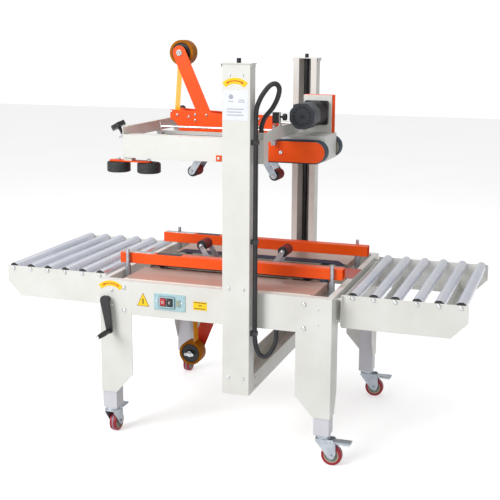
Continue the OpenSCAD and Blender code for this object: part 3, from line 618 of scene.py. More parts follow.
@dataclass
class Studio:
    """Pale floor and soft light."""

    floor_size: float = 30.0
    key_watts: float = 225.0
    fill_watts: float = 16.0
    back_watts: float = 8.0
    top_watts: float = 40.0
    sky: float = 0.46
    backdrop: float = 1.05
    glint: float = 0.22
    look_at: Point = (0, 0, 0.7)

    def build(self) -> None:
        """Adds the floor, the sky and the lamps."""
        half = self.floor_size / 2
        mesh = bpy.data.meshes.new("floor")
        mesh.from_pydata([(-half, -half, 0), (half, -half, 0), (half, half, 0), (-half, half, 0)], [],
                         [(0, 1, 2, 3)])
        floor = bpy.data.objects.new("floor", mesh)
        bpy.context.scene.collection.objects.link(floor)
        mesh.materials.append(FLOOR.build())
        floor.visible_diffuse = False
        world = bpy.data.worlds.new("studio")
        bpy.context.scene.world = world
        world.use_nodes = True
        ways = add(world.node_tree, "LightPath").outputs
        seen = add(world.node_tree, "Math", {0: ways["Is Camera Ray"], 1: self.backdrop - self.sky,
                                             2: self.sky},
                   operation="MULTIPLY_ADD")
        glint = add(world.node_tree, "Math", {0: ways["Is Glossy Ray"], 1: self.glint, 2: seen.outputs[0]},
                    operation="MULTIPLY_ADD")
        sky = world.node_tree.nodes["Background"]
        sky.inputs["Color"].default_value = (1, 1, 1, 1)
        world.node_tree.links.new(glint.outputs[0], sky.inputs["Strength"])
        self.lamp("key", (-2.6, -4.6, 3.4), 3.0, self.key_watts)
        self.lamp("top", (-0.4, -0.6, 4.2), 3.0, self.top_watts)
        self.lamp("fill", (2.2, -4.4, 1.0), 2.5, self.fill_watts)
        self.lamp("back", (-1.5, 4.0, 3.6), 3.0, self.back_watts)
        bpy.context.scene.view_settings.view_transform = "Standard"

    def lamp(self, name: str, at: Point, size: float, watts: float) -> None:
        """Adds one square soft box that faces the machine's middle."""
        data = bpy.data.lights.new(name, "AREA")
        data.size, data.energy = size, watts
        made = bpy.data.objects.new(name, data)
        made.location = at
        made.rotation_euler = (Vector(at) - Vector(self.look_at)).to_track_quat("Z", "Y").to_euler()
        bpy.context.scene.collection.objects.link(made)


@dataclass
class Bed:
    """Frame, decks, legs, fasteners and labels of the bed."""

    half: float = 440.0
    front: float = -393.0
    top: float = 607.0

    def build(self, shop: Workshop) -> None:
        """Dresses the CAD nodes and adds what they carry."""
        for node in ("bed_frame", "legs_outer"):
            shop.dress(node, WHITE_COAT)
        shop.dress("inner_legs", LEG_COAT)
        shop.dress("bed_decks", DECK_FILM)
        self.fasteners(shop)
        self.labels(shop)
        self.switches(shop)

    def fasteners(self, shop: Workshop) -> None:
        """Bright bolt heads on the panels and the legs, front and rear."""
        heads: list[Shell] = []
        spots = [(s * (self.half - 99), z, 7.8) for s in (-1, 1) for z in (self.top - 24, self.top - 109)]
        spots += [(s * (self.half - 49), z, 3.8) for s in (-1, 1) for z in (self.top - 40, self.top - 95)]
        for x, z, r in spots:
            head = dome((x, self.front - 0.05, z), FORE, r)
            heads += both(head)
        heads.append(dome((-self.half + 50, self.front - 0.05, self.top - 39), FORE, 5.8))
        shop.piece("bed_bolts", heads, BRIGHT_STEEL, crease=40)

    def labels(self, shop: Workshop) -> None:
        """Plain vinyl labels on the front panel and the left leg."""
        y0, y1 = self.front - 0.45, self.front - 0.02
        base = self.top - 88
        tri = [(-289.5, base), (-240.5, base), (-265, base + 50)]
        inner = [(-287, base + 1.5), (-243, base + 1.5), (-265, base + 46.3)]
        shop.piece("panel_triangle", [prism(inner, "xz", y0 - 0.3, y1)], YELLOW_VINYL)
        shop.piece("panel_triangle_rim", [prism(tri, "xz", y0, y1)], PRINT_BROWN)
        sign = [block(-267, -263, y0 - 0.6, y0 - 0.32, base + 9, base + 28)]
        shop.piece("panel_triangle_print", sign, BLACK_RUBBER)
        print_rows = [(-66, -19, self.top - 57, 3.0), (-48, -36, self.top - 68, 4.0),
                      (-66, -22, self.top - 79, 3.0)]
        bars = [block(xa, xb, y0 - 0.3, y0 - 0.02, z, z + tall) for xa, xb, z, tall in print_rows]
        shop.piece("panel_strip_print", bars, PRINT_BROWN)
        # A folded lip along each deck edge, lighter than the white coat: partly a painted highlight for the
        # bright line of light there.
        lip = block(-355, 355, self.front + 32, self.front + 37, self.top - 1.9, self.top + 1.2)
        shop.piece("deck_lips", both(lip), LIP_HIGHLIGHT_COAT, edge=0.5)
        shop.piece("panel_strip", [prism(rounded(-69, -16, self.top - 83, self.top - 51, 2), "xz", y0, y1)],
                   YELLOW_VINYL)
        Arrow(-394, self.top - 13, self.front, tall=20).build(shop, "leg_arrow")

    def switches(self, shop: Workshop) -> None:
        """Switch plate, its rings, the lamp and the two push buttons."""
        shop.dress("switch_box", SWITCH_PLATE)
        y, low, high = self.front - 3, self.top - 76, self.top - 50
        for key, x0, finish, slot in (("stop", -195, RED_ABS, "button_red"),
                                      ("start", -169, BLACK_ABS, "button_black")):
            node = key + "_button"
            cap = prism(rounded(x0 + 0.9, x0 + 23.1, low, high, 3.5), "xz", self.front - 12.9,
                        self.front - 5.8)
            shop.piece(key + "_cap", [cap], finish, node, (node,), edge=1.6)
            middle = (x0 + 12, self.front - 12.8, self.top - 63)
            mark = washer(middle, FORE, 0.5, 4.6, 2.8, 32)
            if key == "start":
                mark = block(middle[0] - 1.3, middle[0] + 1.3, middle[1] - 0.5, middle[1], middle[2] - 5,
                             middle[2] + 5)
            shop.piece(key + "_mark", [mark], WHITE_VINYL, node)
        wells = [block(x0 + 0.2, x0 + 23.8, self.front - 4.6, self.front - 2.05, self.top - 79.8,
                       self.top - 48.2)
                 for x0 in (-195, -169)]
        shop.piece("switch_wells", wells, BLACK_ABS, "frame")
        rim = collar(rounded(-202, -138, self.top - 87, self.top - 41, 7),
                     rounded(-199.1, -140.9, self.top - 84.1,
                     self.top - 43.9, 0.4), y - 4.4, y - 0.02)
        shop.piece("switch_bezel", [rim], BEZEL, "frame", edge=0.8)
        lamp = prism(rounded(-134.5, -117.5, self.top - 78, self.top - 49, 3), "xz", y - 2.9, y - 0.02)
        lens = prism(rounded(-132, -120.5, self.top - 76, self.top - 51, 4.5), "xz", y - 4.7, y - 2.95)
        shop.piece("switch_lamp_foot", [lamp], SWITCH_PLATE, "frame", edge=0.6)
        shop.piece("switch_lamp", [lens], LAMP, "frame", edge=1.2)
        key_lock = rod((-112, y - 0.02, self.top - 64), FORE, 2.2, 4.2, 0.8)
        shop.piece("switch_lamp_screw", [key_lock], BRIGHT_STEEL, "frame")
        screws = [dome((-209, y - 0.05, self.top - 62), FORE, 4.4)]
        shop.piece("switch_screws", screws, BRIGHT_STEEL, "frame")


@dataclass
class Arrow:
    """A curved yellow label with a generic two-headed arrow, for what turns."""

    x: float
    z: float
    y: float
    radius: float = 62.0
    spread: float = 44.0
    tall: float = 17.0

    def build(self, shop: Workshop, name: str) -> None:
        """Adds the yellow arc and the arrow on it.

        Args:
            shop: the workshop.
            name: the piece's name.
        """
        cz = self.z - self.radius
        out = arc_points(self.x, cz, self.radius + self.tall / 2, 90 - self.spread, 90 + self.spread, 25)
        back = arc_points(self.x, cz, self.radius - self.tall / 2, 90 + self.spread, 90 - self.spread, 25)
        shop.piece(name, [prism(out + back, "xz", self.y - 0.45, self.y - 0.02)], YELLOW_VINYL)
        reach = self.spread * 0.55
        line = arc_points(self.x, cz, self.radius + 1.4, 90 - reach, 90 + reach, 15)
        line += arc_points(self.x, cz, self.radius - 1.4, 90 + reach, 90 - reach, 15)
        heads = []
        for side in (-1, 1):
            root = arc_points(self.x, cz, self.radius + 4, 90 + side * reach, 90 + side * reach, 1)
            root += arc_points(self.x, cz, self.radius - 4, 90 + side * reach, 90 + side * reach, 1)
            root += arc_points(self.x, cz, self.radius - 1, 90 + side * (reach + 10),
                               90 + side * (reach + 10), 1)
            heads.append(prism(root, "xz", self.y - 0.85, self.y - 0.47))
        shop.piece(name + "_line", [prism(line, "xz", self.y - 0.8, self.y - 0.47)] + heads, RED_VINYL)


@dataclass
class Casters:
    """Four swivel casters with crimson wheels and foot pedals."""

    r: float = 37.5
    wide: float = 28.0
    foot: tuple[float, float] = (412.0, 365.0)
    trail: float = 32.0
    corners: dict[str, tuple[int, int, bool]] = field(default_factory=lambda: {
        "fl": (-1, -1, True), "fr": (1, -1, False), "rl": (-1, 1, True), "rr": (1, 1, False)})

    def build(self, shop: Workshop) -> None:
        """Dresses forks and pedals, and turns the wheels."""
        for key, (sx, sy, across) in self.corners.items():
            x, y = sx * self.foot[0], sy * self.foot[1]
            if across:
                y += self.trail
            else:
                x += self.trail
            shop.dress("fork_" + key, ZINC)
            shop.dress("pedal_" + key, ZINC)
            self.wheel(shop, key, (x, y, self.r), ALONG if across else AFT)

    def wheel(self, shop: Workshop, key: str, at: Point, along: Point) -> None:
        """Turns one wheel: tyre, stripe, hub, rings and dome nuts."""
        r, w = self.r, self.wide / 2
        body = "wheel_" + key
        tyre = [(26, -w + 3), (27, -w + 0.6), (30, -w), (34, -w + 0.4), (36.4, -w + 2), (37.3, -w + 5),
                (r, -6),
                (r, -3.2), (r - 0.9, -2.6), (r - 0.9, 2.6), (r, 3.2), (r, 6), (37.3, w - 5), (36.4, w - 2),
                (34, w - 0.4), (30, w), (27, w - 0.6), (26, w - 3)]
        shop.piece("tyre_" + key, [lathe(tyre, at, along, 72)], TYRE, body,
                   ("wheel_" + key,))
        shop.piece("tyre_stripe_" + key, [lathe([(r - 1.5, -2.4), (r - 0.3, -2.4), (r - 0.3, 2.4),
                                                 (r - 1.5, 2.4)],
                                                at, along, 72)], STRIPE, body)
        hub = [(4.1, -w + 2), (11, -w + 2), (12, -w + 5.5), (23, -w + 5.5), (24.2, -w + 3), (26.3, -w + 3),
               (26.3, w - 3), (24.2, w - 3), (23, w - 5.5), (12, w - 5.5), (11, w - 2), (4.1, w - 2)]
        shop.piece("hub_" + key, [lathe(hub, at, along, 60)], HUB_NYLON, body)
        rings = [lathe([(23.6, s * (w - 2.8)), (26.6, s * (w - 2.8)), (26.6, s * (w - 1.6)),
                        (23.6, s * (w - 1.6))],
                       at, along, 60) for s in (-1, 1)]
        shop.piece("hub_ring_" + key, rings, CREAM_NYLON, body)
        nut = [(0, 20.2), (6.4, 20.2), (6.4, 22.4), (5.6, 23.6), (3.6, 24.7), (0, 25.0)]
        other = (-along[0], -along[1], -along[2])
        nuts = [lathe(nut, at, along, 24), lathe(nut, at, other, 24)]
        shop.piece("axle_nuts_" + key, nuts, BRIGHT_STEEL, "fork_" + key)


@dataclass
class RollerTables:
    """Infeed and outfeed tables with six rollers each."""

    half: float = 316.0
    axis_z: float = 600.0
    first: dict[str, float] = field(default_factory=lambda: {"in": -476.0, "out": 494.0})
    pitch: float = 74.0

    def build(self, shop: Workshop) -> None:
        """Dresses the tables and rollers, and adds bearings and bolts."""
        bolts: list[Shell] = []
        for key, start in self.first.items():
            shop.dress(key + "feed_table", WHITE_COAT)
            for i in range(6):
                x = start + (-1 if key == "in" else 1) * i * self.pitch
                node = f"{key}_roller_{i + 1}"
                shop.dress(node, ROLLER_STEEL)
                ends = [lathe([(5.4, 0), (18.4, 0), (18.7, 0.4), (18.4, 1.3), (9, 1.3), (8.4, 0.8),
                               (5.4, 0.8)],
                              (x, s * (self.half + 0.05), self.axis_z), (0, s, 0), 40) for s in (-1, 1)]
                shop.piece(f"{key}_bearing_{i + 1}", ends, BLACK_ABS, node)
                head = dome((x, -self.half - 5.05, self.axis_z), FORE, 7.6)
                bolts += both(head)
        shop.piece("table_bolts", bolts, BRIGHT_STEEL, crease=40)


@dataclass
class Columns:
    """Both columns, their screws, the sheet, the arrow label and the base channel."""

    front: float = -447.0

    def build(self, shop: Workshop) -> None:
        """Dresses the CAD nodes and adds bolts and labels."""
        for node in ("column_front", "column_rear", "base_channel"):
            shop.dress(node, WHITE_COAT)
        for node in ("lead_screw_front", "lead_screw_rear"):
            shop.dress(node, DARK_STEEL)
        heads: list[Shell] = []
        for x, z, r in ((85, 629, 5.8), (138, 629, 5.8), (85, 308, 5.8), (138, 308, 5.8), (88, 1359, 4.3),
                        (134, 1359, 4.3)):
            head = dome((x, self.front - 0.05, z), FORE, r)
            heads += both(head)
        shop.piece("column_bolts", heads, BRIGHT_STEEL, crease=40)
        Arrow(107, 1341, self.front, 58, 42, 20).build(shop, "column_arrow")
        y0, y1 = self.front - 0.4, self.front - 0.02
        shop.piece("column_sheet", [prism(rounded(65, 153, 1209, 1309, 2), "xz", y0, y1)], WHITE_VINYL)
        marks = [prism(arc_points(93, 1288, 8, 0, 345, 24), "xz", y0 - 0.3, y0)]
        marks += [prism([(x, z), (x + w, z), (x + w, z + 3), (x, z + 3)], "xz", y0 - 0.3, y0)
                  for x, z, w in ((84, 1271, 18), (118, 1270, 24), (120, 1276, 20), (78, 1246, 60),
                                  (78, 1236, 52),
                                  (78, 1226, 60))]
        shop.piece("column_sheet_print", marks, GREY_VINYL)


@dataclass
class Head:
    """Head frame with its knob, clamp, gland, bolts and pressing wheels."""

    run: float = 1032.0
    beam: float = -372.0
    right: float = 185.0

    def build(self, shop: Workshop) -> None:
        """Dresses the frame and covers the parts that are not white."""
        shop.dress("head_frame", WHITE_COAT)
        z = self.run
        black = [block(self.right - 25.4, self.right - 3.02, -198.4, -171.6, z + 149.6, z + 188.4)]
        black += [rod((self.right + 10.6, -185, z + 172), ALONG, 12.8, 12.4, 1.5)]
        black += [rod((self.right + 0.02, -185, z + 172), ALONG, 11, 4)]
        shop.piece("head_clamp", black, BLACK_ABS, "head", ("tab_clamp",), edge=1.2)
        lean = (-0.5, 0, 0.8660254)
        seat = [block(-371.3, -345.02, -348.3, -325.7, z + 90.7, z + 97.3),
                rod((-355, -337, z + 106 - 10.392), lean, 11.9, 7.3, 0.8)]
        shop.piece("knob_bracket", seat, ZINC, "head", edge=0.8)
        wing = [rod((-292, 50, z + 172), AFT, 12, 13, 1.5), rod((-292, 48.2, z + 172), AFT, 8, 6)]
        shop.piece("cartridge_knob", wing, BLACK_ABS, "head")
        shop.piece("head_gland", [self.gland(z)], BLACK_ABS, "head")
        shop.piece("beam_bolt_plate", [block(11.6, 32.4, self.beam - 2.5, self.beam - 0.02, z + 27.6,
                                             z + 48.4)],
                   ORANGE_COAT, "head", edge=0.4)
        head = dome((22, self.beam - 2.55, z + 38), FORE, 5.4)
        shop.piece("beam_bolt", [head], BRIGHT_STEEL, "head")
        bracket = capsule(-392, self.beam + 25, -262, self.beam + 25, 17.3)
        shop.piece("press_bracket", [prism(bracket, "xy", z + 7.7, z + 13.3)], ORANGE_COAT, "head",
                   edge=0.6)
        shop.dress("head_knob", BLACK_ABS)
        for i, x in ((1, -374.0), (2, -255.0)):
            self.press_wheel(shop, i, x)

    def gland(self, z: float) -> Shell:
        """The conduit's ribbed nut on the front beam."""
        base, r = z + 108.05, 13.2
        ribs = [(r - (0.9 if k % 2 else 0.0), 1 + 1.6 * k) for k in range(12)]
        return lathe([(0, 0), (r, 0)] + ribs + [(10.4, 21.8), (0, 21.8)], (168, -347, base), UP, 32)

    def press_wheel(self, shop: Workshop, number: int, x: float) -> None:
        """One black pressing wheel with a grooved tread, and its bright pin."""
        z, y = self.run - 29.6, self.beam + 25
        tread = [(42.9 - (1.2 if k % 2 else 0.0), 4.5 + 2.4 * k) for k in range(12)]
        rim = [(4.2, 0.1), (16, 0.1), (17, 2), (34, 2), (35.5, 0.1), (38, 0.1), (42.4, 3.4)] + tread
        rim += [(42.4, 34), (38, 37.1), (35.5, 37.1), (34, 35), (17, 35), (16, 37.1), (4.2, 37.1)]
        shop.piece(f"press_wheel_{number}_tread", [lathe(rim, (x, y, z), UP, 64)], BLACK_RUBBER,
                   f"press_wheel_{number}", (f"press_wheel_{number}",))
        pin = rod((x, y, self.run + 12.9), UP, 7.5, 6.9, 1.0)
        foot = rod((x, y, self.run - 33.4), UP, 3.3, 7.8, 0.8)
        shop.piece(f"press_pin_{number}", [pin, foot], BRIGHT_STEEL, "head")


@dataclass
class UpperDrive:
    """Belt drives on both sides of the head and the gearmotor above."""

    run: float = 1032.0
    axle: float = 292.0
    drum: float = 39.0
    motor_x: float = 255.0

    def build(self, shop: Workshop) -> None:
        """Builds bars, drums, rods, belts and motor."""
        shop.dress("upper_belts", BELT)
        z, xa, xb = self.run + 42, -self.axle, self.axle + 6
        bars, drums, rods = [], [], []
        bar = prism(capsule(xa, z, xb, z, self.drum - 1.2), "xz", -132, -128.6)
        bars += both(bar)
        for x in (xa, xb):
            drum = lathe([(0, 0), (38.6, 0), (38.6, 42.6), (37, 42.6), (37, 38), (12, 38), (10, 47.2),
                          (0, 47.2)],
                         (x, -128, z), AFT, 64)
            drums += both(drum)
        for x in (-160, 0, 160):
            spacer = rod((x, -128.8, z), AFT, 44.8, 10.8)
            drums += both(spacer)
        long_rod = rod((-296, -150, self.run + 120), ALONG, 447, 4)
        rods += both(long_rod)
        blocks = []
        for x in (-296, 150):
            post = rod((x, -150, self.run + 90), UP, 44, 4.5)
            foot = block(x - 8, x + 8, -158, -132, self.run + 66, self.run + 96)
            rods += both(post)
            blocks += both(foot)
        head = dome((172, -132.02, z - 3), FORE, 7.4)
        bright = both(head)
        shop.piece("drive_bars", bars, ORANGE_COAT, "head", ("upper_drive",), edge=0.7)
        shop.piece("drive_drums", drums, GREY_STEEL, "head", ("upper_drive",))
        shop.piece("drive_rods", rods, BRIGHT_STEEL, "head", ("upper_drive",))
        shop.piece("drive_feet", blocks, ZINC, "head", ("upper_drive",), edge=0.8)
        shop.piece("drive_bolts", bright, BRIGHT_STEEL, "head", ("upper_drive",))
        self.motor(shop)

    def octagon(self, r: float) -> Outline:
        """Outline of the motor's eight-sided cover, with its corners softened."""
        spots: Outline = []
        for k in range(8):
            for swing in (-5, 0, 5):
                a = math.radians(22.5 + 45 * k + swing)
                reach = r / math.cos(math.radians(abs(swing))) * (1 - 0.006 * (swing == 0))
                spots.append((self.motor_x + reach * math.cos(a), self.run + 173 + reach * math.sin(a)))
        return spots

    def motor(self, shop: Workshop) -> None:
        """Builds the gearmotor from its plates out to the fan cover."""
        x, z = self.motor_x, self.run + 173
        node = ("gearmotor",)
        shop.piece("motor_plate_white", [block(x - 53, x + 57, 58, 64, self.run + 98, self.run + 238)],
                   WHITE_COAT,
                   "head", node, edge=1.0)
        shop.piece("motor_plate_orange", [block(x - 50, x + 67, 64.05, 70, self.run + 98, self.run + 240)],
                   ORANGE_COAT, "head", node, edge=1.0)
        body = [prism(rounded(x - 45, x + 45, z - 45, z + 45, 7), "xz", 40, 58)]
        body += [washer((x, 36 - 7 * k, z), FORE, 3.0, 46.5, 40) for k in range(13)]
        body += [rod((x, 40, z), FORE, 98, 42)]
        shop.piece("motor_body", body, BLACK_ABS, "head", node)
        cover = [prism(self.octagon(48.2), "xz", -150, -62)]
        face = [washer((x, -149.5, z), FORE, 2.1, r, r - 2.4) for r in (45, 38.6, 26, 19.5, 13)]
        vents = [rod((x + 32 * math.cos(a), -150.05, z + 32 * math.sin(a)), FORE, 0.9, 5.4, 0.2, 16)
                 for a in np.linspace(0, 2 * math.pi, 14, endpoint=False)]
        shop.piece("motor_cover", cover + face, MOTOR_CAST, "head", node, edge=1.2)
        shop.piece("motor_vents", vents, BLACK_ABS, "head", node)
        shop.piece("motor_hub", [rod((x, -150, z), FORE, 2, 8, 0.8)], BLACK_ABS, "head", node)
        box = [prism(rounded(x - 60, x - 41, z - 30, z + 36, 4), "xz", -60, 0)]
        shop.piece("motor_terminals", box, BLACK_ABS, "head", node, edge=1.0)


@dataclass
class Cartridge:
    """One tape cartridge: side plates, spacers, roll arm, roll, tape web and sprung arms."""

    name: str
    body: str
    side: int
    level: float
    middle: float
    plate: Finish
    slot: str
    web_finish: Finish
    outline: Outline
    spacers: Outline
    screws: Outline
    roll: tuple[float, float]
    arm_root: tuple[float, float]
    web: Outline
    core_r: float = 37.0

    def build(self, shop: Workshop) -> None:
        """Builds the cartridge round its CAD node."""
        node = (self.name + "_cartridge",)
        plate = prism([(x, self.level + z) for x, z in self.outline], "xz", -48, -45)
        arm_y = (-45, -42) if self.side > 0 else (42, 45)
        arm = prism(capsule(*self.roll, *self.arm_root, 27), "xz", arm_y[0] + 0.05, arm_y[1] - 0.05)
        shop.piece(self.name + "_plates", both(plate), self.plate, self.body, node, edge=0.7)
        shop.piece(self.name + "_roll_arm", [arm], self.plate, self.body, node, edge=0.7)
        rods = [rod((x, -45, self.level + z), AFT, 90, 7) for x, z in self.spacers]
        pivot_z = self.level + (55 if self.side > 0 else -55)
        rods += [rod((self.middle + s * 94, -45, pivot_z), AFT, 90, 6) for s in (-1, 1)]
        if self.side > 0:
            stubs = [rod((x, -81, self.level + 40), AFT, 33, 8) for x in (-250, 95)]
            rods += stubs + [s.mirrored() for s in stubs]
        shop.piece(self.name + "_spacers", rods, ZINC, self.body, node)
        heads = [dome((x, -48.02, self.level + z), FORE, 4.6) for x, z in self.screws]
        shop.piece(self.name + "_screws", heads + [h.mirrored() for h in heads], BRIGHT_STEEL, self.body,
                   node)
        # The tape web glows: painted light for light shining through the film.
        shop.piece(self.name + "_web", [prism(self.web, "xz", -24, 24)], self.web_finish, self.body,
                   node)
        self.spindle(shop, node)
        self.tape_roll(shop)
        for key, way in (("in", -1), ("out", 1)):
            self.sprung_arm(shop, key, way, pivot_z)

    def spindle(self, shop: Workshop, node: tuple[str, ...]) -> None:
        """The roll's shaft with its knob, on the arm's round end."""
        x, z = self.roll
        if self.side > 0:
            bright = [rod((x, -42, z), AFT, 74, 8), rod((x, -45, z), FORE, 3.2, 12, 1.0),
                      dome((x, -48.2, z), FORE, 4.6)]
            shop.piece("upper_spindle", bright, BRIGHT_STEEL, self.body, node)
            shop.piece("upper_spindle_cap", [rod((x, 27, z), AFT, 5, 15, 1.0)], BLACK_ABS, self.body,
                       node)
            return
        wing = prism(rounded(x - 20, x + 20, z - 6, z + 6, 5), "xz", -44, -36)
        bright = [rod((x, -36, z), AFT, 78, 8), wing, rod((x, -30, z), FORE, 7, 12, 1.0)]
        shop.piece("lower_spindle", bright, BRIGHT_STEEL, self.body, node, edge=0.8)

    def tape_roll(self, shop: Workshop) -> None:
        """The wound tape with its card core and core disc."""
        x, z = self.roll
        body = self.name + "_tape_roll"
        wound = [(self.core_r + 1.2, -24.2), (47.4, -24.2), (48, -23.6), (48, 23.6), (47.4, 24.2),
                 (self.core_r + 1.2, 24.2)]
        shop.piece(self.name + "_tape", [lathe(wound, (x, 0, z), AFT, 96)], TAPE, body,
                   (body,))
        core = washer((x, -24.8, z), AFT, 49.6, self.core_r + 1.1, self.core_r - 2.5, 72)
        shop.piece(self.name + "_card_core", [core], CARD, body)
        disc = [(8.1, -25.8), (15, -25.8), (16.5, -23.5), (33.5, -23.5), (34.4, -24.6), (34.4, 24.6),
                (33.5, 23.5),
                (16.5, 23.5), (15, 25.8), (8.1, 25.8)]
        shop.piece(self.name + "_core_disc", [lathe(disc, (x, 0, z), AFT, 72)], BLACK_ABS, body)

    def sprung_arm(self, shop: Workshop, key: str, way: int, pivot_z: float) -> None:
        """One sprung arm with its ribbed pressing roller.

        Args:
            shop: the workshop.
            key: "in" or "out".
            way: -1 for the arm that leans to the infeed, 1 for the other.
            pivot_z: height of the pivot.
        """
        body = f"{self.name}_arm_{key}"
        xp = self.middle + way * 94
        xr, zr = xp + way * 72, pivot_z - self.side * 117
        end = 12.8 if self.side > 0 else 9.5
        plates = [prism(tapered(xp, pivot_z, 12.8, xr, zr, end), "xz", y, y + 3) for y in (-42, 39)]
        hub = lathe([(6.1, -39), (10, -39), (10, 39), (6.1, 39)], (xp, 0, pivot_z), AFT, 32)
        ends = [dome((xr, s * 42.02, zr), (0, s, 0), 5.5) for s in (-1, 1)]
        shop.piece(body + "_plates", plates + [hub], ZINC, body, (body,), edge=0.5)
        shop.piece(body + "_bolts", ends, BRIGHT_STEEL, body)
        ribs = [(20.9 - (1.4 if k % 2 else 0.0), -30.6 + 1.8 * k) for k in range(35)]
        tread = [(5.2, -31), (20.0, -31)] + ribs + [(20.0, 31), (5.2, 31)]
        shop.piece(body + "_roller", [lathe(tread, (xr, 0, zr), AFT, 48)], ROLL_RUBBER, body)
        caps = [lathe([(9, 0), (20.2, 0), (20.2, 1.8), (18.6, 3), (9, 3)], (xr, s * 31.02, zr), (0, s, 0),
                      48)
                for s in (-1, 1)]
        shop.piece(body + "_caps", caps, BLACK_ABS, body)
        hubs = [rod((xr, s * 31, zr), (0, s, 0), 7.9, 8.9, 1.0) for s in (-1, 1)]
        shop.piece(body + "_hubs", hubs, BRIGHT_STEEL, body)


@dataclass
class Guides:
    """Side guides: orange tubes on stepped posts, with label plates on top."""

    out: float = 226.0
    deep: float = 40.0
    low: float = 634.0
    tall: float = 40.0
    half: float = 435.0
    post: float = 390.0
    bed_top: float = 607.0

    def build(self, shop: Workshop) -> None:
        """Builds the front guide and its mirror image."""
        y0, y1, z1 = -self.out, -self.out + self.deep, self.low + self.tall
        tube = [self.square_tube(y0, y1, self.low, z1)]
        plates = [block(x0, x1, y0 + 5, y1 - 5, z1 + 0.02, z1 + 0.8) for x0,
                  x1 in ((-428, -300), (-290, -190))]
        rib = [block(-434.5, 434.5, y0 - 0.9, y0 - 0.02, z1 - 11, z1 - 8)]
        for name, flip, reach in (("guide_front", False, self.post + 9),
                                  ("guide_rear", True, self.post - 6)):
            posts, feet = [], []
            for x in (-reach, reach):
                step = [(0, self.bed_top - 60), (6.9, self.bed_top - 60), (6.9, self.low - 60),
                        (11, self.low - 59.4),
                        (11, self.low - 6), (6.9, self.low - 5.4), (6.9, z1 + 15), (6, z1 + 16),
                        (0, z1 + 16)]
                posts.append(lathe(step, (x, y0 - 10, 0), UP, 32))
                posts.append(block(x - 7, x + 7, y0 - 10, y0, self.low + 5, z1 - 5))
                feet.append(block(x - 14, x + 14, y0 - 24, y0 + 4, self.bed_top - 69.6, self.bed_top - 50))

            def turned(shells: list[Shell]) -> list[Shell]:
                """Mirrors the shells for the rear guide."""
                return [s.mirrored() for s in shells] if flip else shells
            shop.piece(name + "_tube", turned(tube), ORANGE_COAT, name, (name,), edge=1.4)
            shop.piece(name + "_posts", turned(posts), ZINC, name, (name,))
            shop.piece(name + "_feet", turned(feet), ZINC, name, (name,), edge=1.0)
            shop.piece(name + "_scale", turned(plates[:1]), BRIGHT_STEEL, name, edge=0.2)
            shop.piece(name + "_mark", turned(plates[1:]), DARK_STEEL, name, edge=0.2)
            shop.piece(name + "_rib", turned(rib), ORANGE_COAT, name, edge=0.4)

    def square_tube(self, y0: float, y1: float, z0: float, z1: float) -> Shell:
        """A square tube along X, open at both ends, with a 3 mm wall."""
        outer = [(y0, z0), (y1, z0), (y1, z1), (y0, z1)]
        inner = [(y0 + 3, z0 + 3), (y1 - 3, z0 + 3), (y1 - 3, z1 - 3), (y0 + 3, z1 - 3)]
        points = [(x, y, z) for x in (-self.half, self.half) for ring in (outer, inner) for y, z in ring]
        faces: Faces = []
        for i in range(4):
            j = (i + 1) % 4
            faces += [(i, j, j + 8, i + 8), (i + 4, i + 12, j + 12, j + 4), (i, i + 4, j + 4, j),
                      (i + 8, j + 8, j + 12, i + 12)]
        return Shell(np.array(points, float), faces, np.zeros(16))


@dataclass
class Crank:
    """Hand crank that sets the guides' width."""

    x: float = -407.0
    z: float = 534.0
    front: float = -393.0
    throw: float = 114.0

    def build(self, shop: Workshop) -> None:
        """Builds hub, arm, grip and the bright end bolt."""
        ex, ez = self.x + 0.15 * self.throw, self.z - 0.989 * self.throw
        y = self.front
        hub = lathe([(0, 0.4), (11, 0.4), (12.6, 2), (12.6, 20), (13, 21), (13, 29), (0, 29)],
                    (self.x, y, self.z), FORE, 48)
        arm = prism(tapered(self.x, self.z, 17.9, ex, ez, 11.9), "xz", y - 30, y - 20)
        shaft = rod((self.x, y - 0.3, self.z), AFT, 48, 7)
        shop.piece("crank_arm", [hub, arm], BLACK_ABS, "crank", ("crank",), edge=1.0)
        shop.piece("crank_shaft", [shaft], DARK_STEEL, "crank", ("crank",))
        swell = [(0, 30.2), (7.5, 30.2), (8, 33)]
        swell += [(7.6 + 2.3 * math.sin(math.pi * t) ** 0.6, 36 + 76 * t) for t in np.linspace(0.02, 0.98,
                                                                                               24)]
        swell += [(7.2, 114), (7.0, 119.5), (6.4, 120.6), (0, 120.6)]
        shop.piece("crank_end", [rod((ex, y - 120.4, ez), FORE, 1.6, 5.6, 0.8)], BRIGHT_STEEL, "crank",
                   ("crank",))
        shop.piece("crank_grip", [lathe(swell, (ex, y, ez), FORE, 40)], BLACK_ABS, "crank",
                   ("crank",))


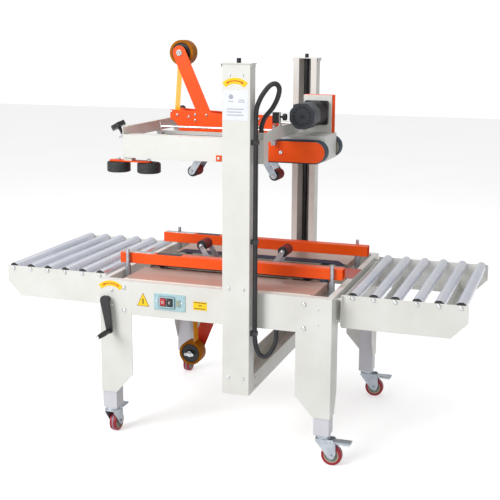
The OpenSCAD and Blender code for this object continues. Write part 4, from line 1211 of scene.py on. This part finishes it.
@dataclass
class Conduit:
    """The corrugated conduit from the head's gland to the bed's box."""

    run: float = 1032.0
    low: float = 481.0
    x: float = 174.0
    y: float = -425.0

    def build(self, shop: Workshop) -> None:
        """Lays the hose along its route; it rides on no body."""
        over = [(-6, 78, 130.4), (-6, 78, 150), (6, 78, 182), (34, 76, 216), (54, 69, 252), (62, 59, 282),
                (54, 47, 298), (38, 37, 294), (22, 27, 274), (8, 15, 246), (-1, 6, 210), (0, 0, 160),
                (0, 0, 104)]
        hook = [(1, 0, -31), (6, 4, -66), (16, 10, -89), (30, 16, -97), (44, 24, -89), (56, 34, -69),
                (63, 44, -45), (64, 48, -23), (64, 48, -0.4)]
        step = (self.run + 95 - self.low) / 11
        route = [(self.x + a, self.y + b, self.run + c) for a, b, c in over]
        route += [(self.x, self.y, self.run + 104 - k * step) for k in range(1, 12)]
        route += [(self.x + a, self.y + b, self.low + c) for a, b, c in hook]
        made = shop.piece("conduit_hose", [hose(route, 8.3, 0.6, 5.0)], BLACK_RUBBER, "",
                          ("conduit",), crease=80)
        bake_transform(made)
        clips = [prism(rounded(self.x - 13.9, self.x + 9.6, z - 8, z + 8, 2), "xz", self.y - 10.5,
                       self.y + 10.5)
                 for z in (1136, 795, 470)]
        shop.piece("conduit_clips", clips, BLACK_ABS, "frame", edge=1.0)


@dataclass
class LowerDrive:
    """Belts, drums and slide beds in the bed."""

    def build(self, shop: Workshop) -> None:
        """Dresses the CAD nodes and adds the bridging plate."""
        shop.dress("lower_belts", BELT)
        shop.dress("lower_drive", GREY_STEEL)
        shop.piece("bridge_plate", [block(364, 438, -75, 75, 607, 609)], PINK_COAT, "frame",
                   ("lower_cartridge",), edge=0.5)


def cartridges() -> list[Cartridge]:
    """The upper cartridge on the head and the lower one in the bed."""
    upper = Cartridge(
        "upper", "head", 1, 1032.0, -49.0, ORANGE_COAT, "orange_paint", LIT_TAPE_WEB,
        [(-300, 176), (-120, 166), (112, 154), (112, 20), (-262, 20), (-262, 96), (-268, 114), (-282, 130),
         (-300, 140)],
        [(-290, 160), (-180, 130), (-30, 125), (95, 120)],
        [(-294, 168), (-270, 156), (-222, 150), (-196, 158), (-196, 138), (-150, 158), (60, 150),
         (60, 120)],
        (-262.0, 1422.0), (-142.0, 1152.0), [(-276, 1375.4), (-276.7, 1375.4), (-290.7, 1192),
                                             (-290, 1192)])
    lower = Cartridge(
        "lower", "frame", -1, 616.0, -12.0, RED_COAT, "red_paint", LIT_LOW_WEB,
        [(-240, -18), (180, -18), (180, -150), (-140, -150), (-240, -100)],
        [(-228, -62), (-120, -140), (20, -130), (165, -140), (168, -85)],
        [(-150, -40), (60, -40), (60, -120)],
        (-232.0, 229.0), (-118.0, 506.0),
        [(-217, 275.2), (-216.2, 275.2), (-227.6, 554), (-228.4, 554)])
    return [upper, lower]


def main() -> None:
    """Builds the whole scene in order."""
    logging.basicConfig(level=logging.INFO, format="%(message)s")
    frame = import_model()
    shop = Workshop(frame)
    Camera().build(shop)
    Conduit().build(shop)
    Studio().build()
    for part in (Bed(), Casters(), RollerTables(), Columns(), Head(), UpperDrive(), LowerDrive(),
                 *cartridges(),
                 Guides(), Crank()):
        part.build(shop)
        LOG.info("%s done", type(part).__name__)


if __name__ == "__main__":
    main()
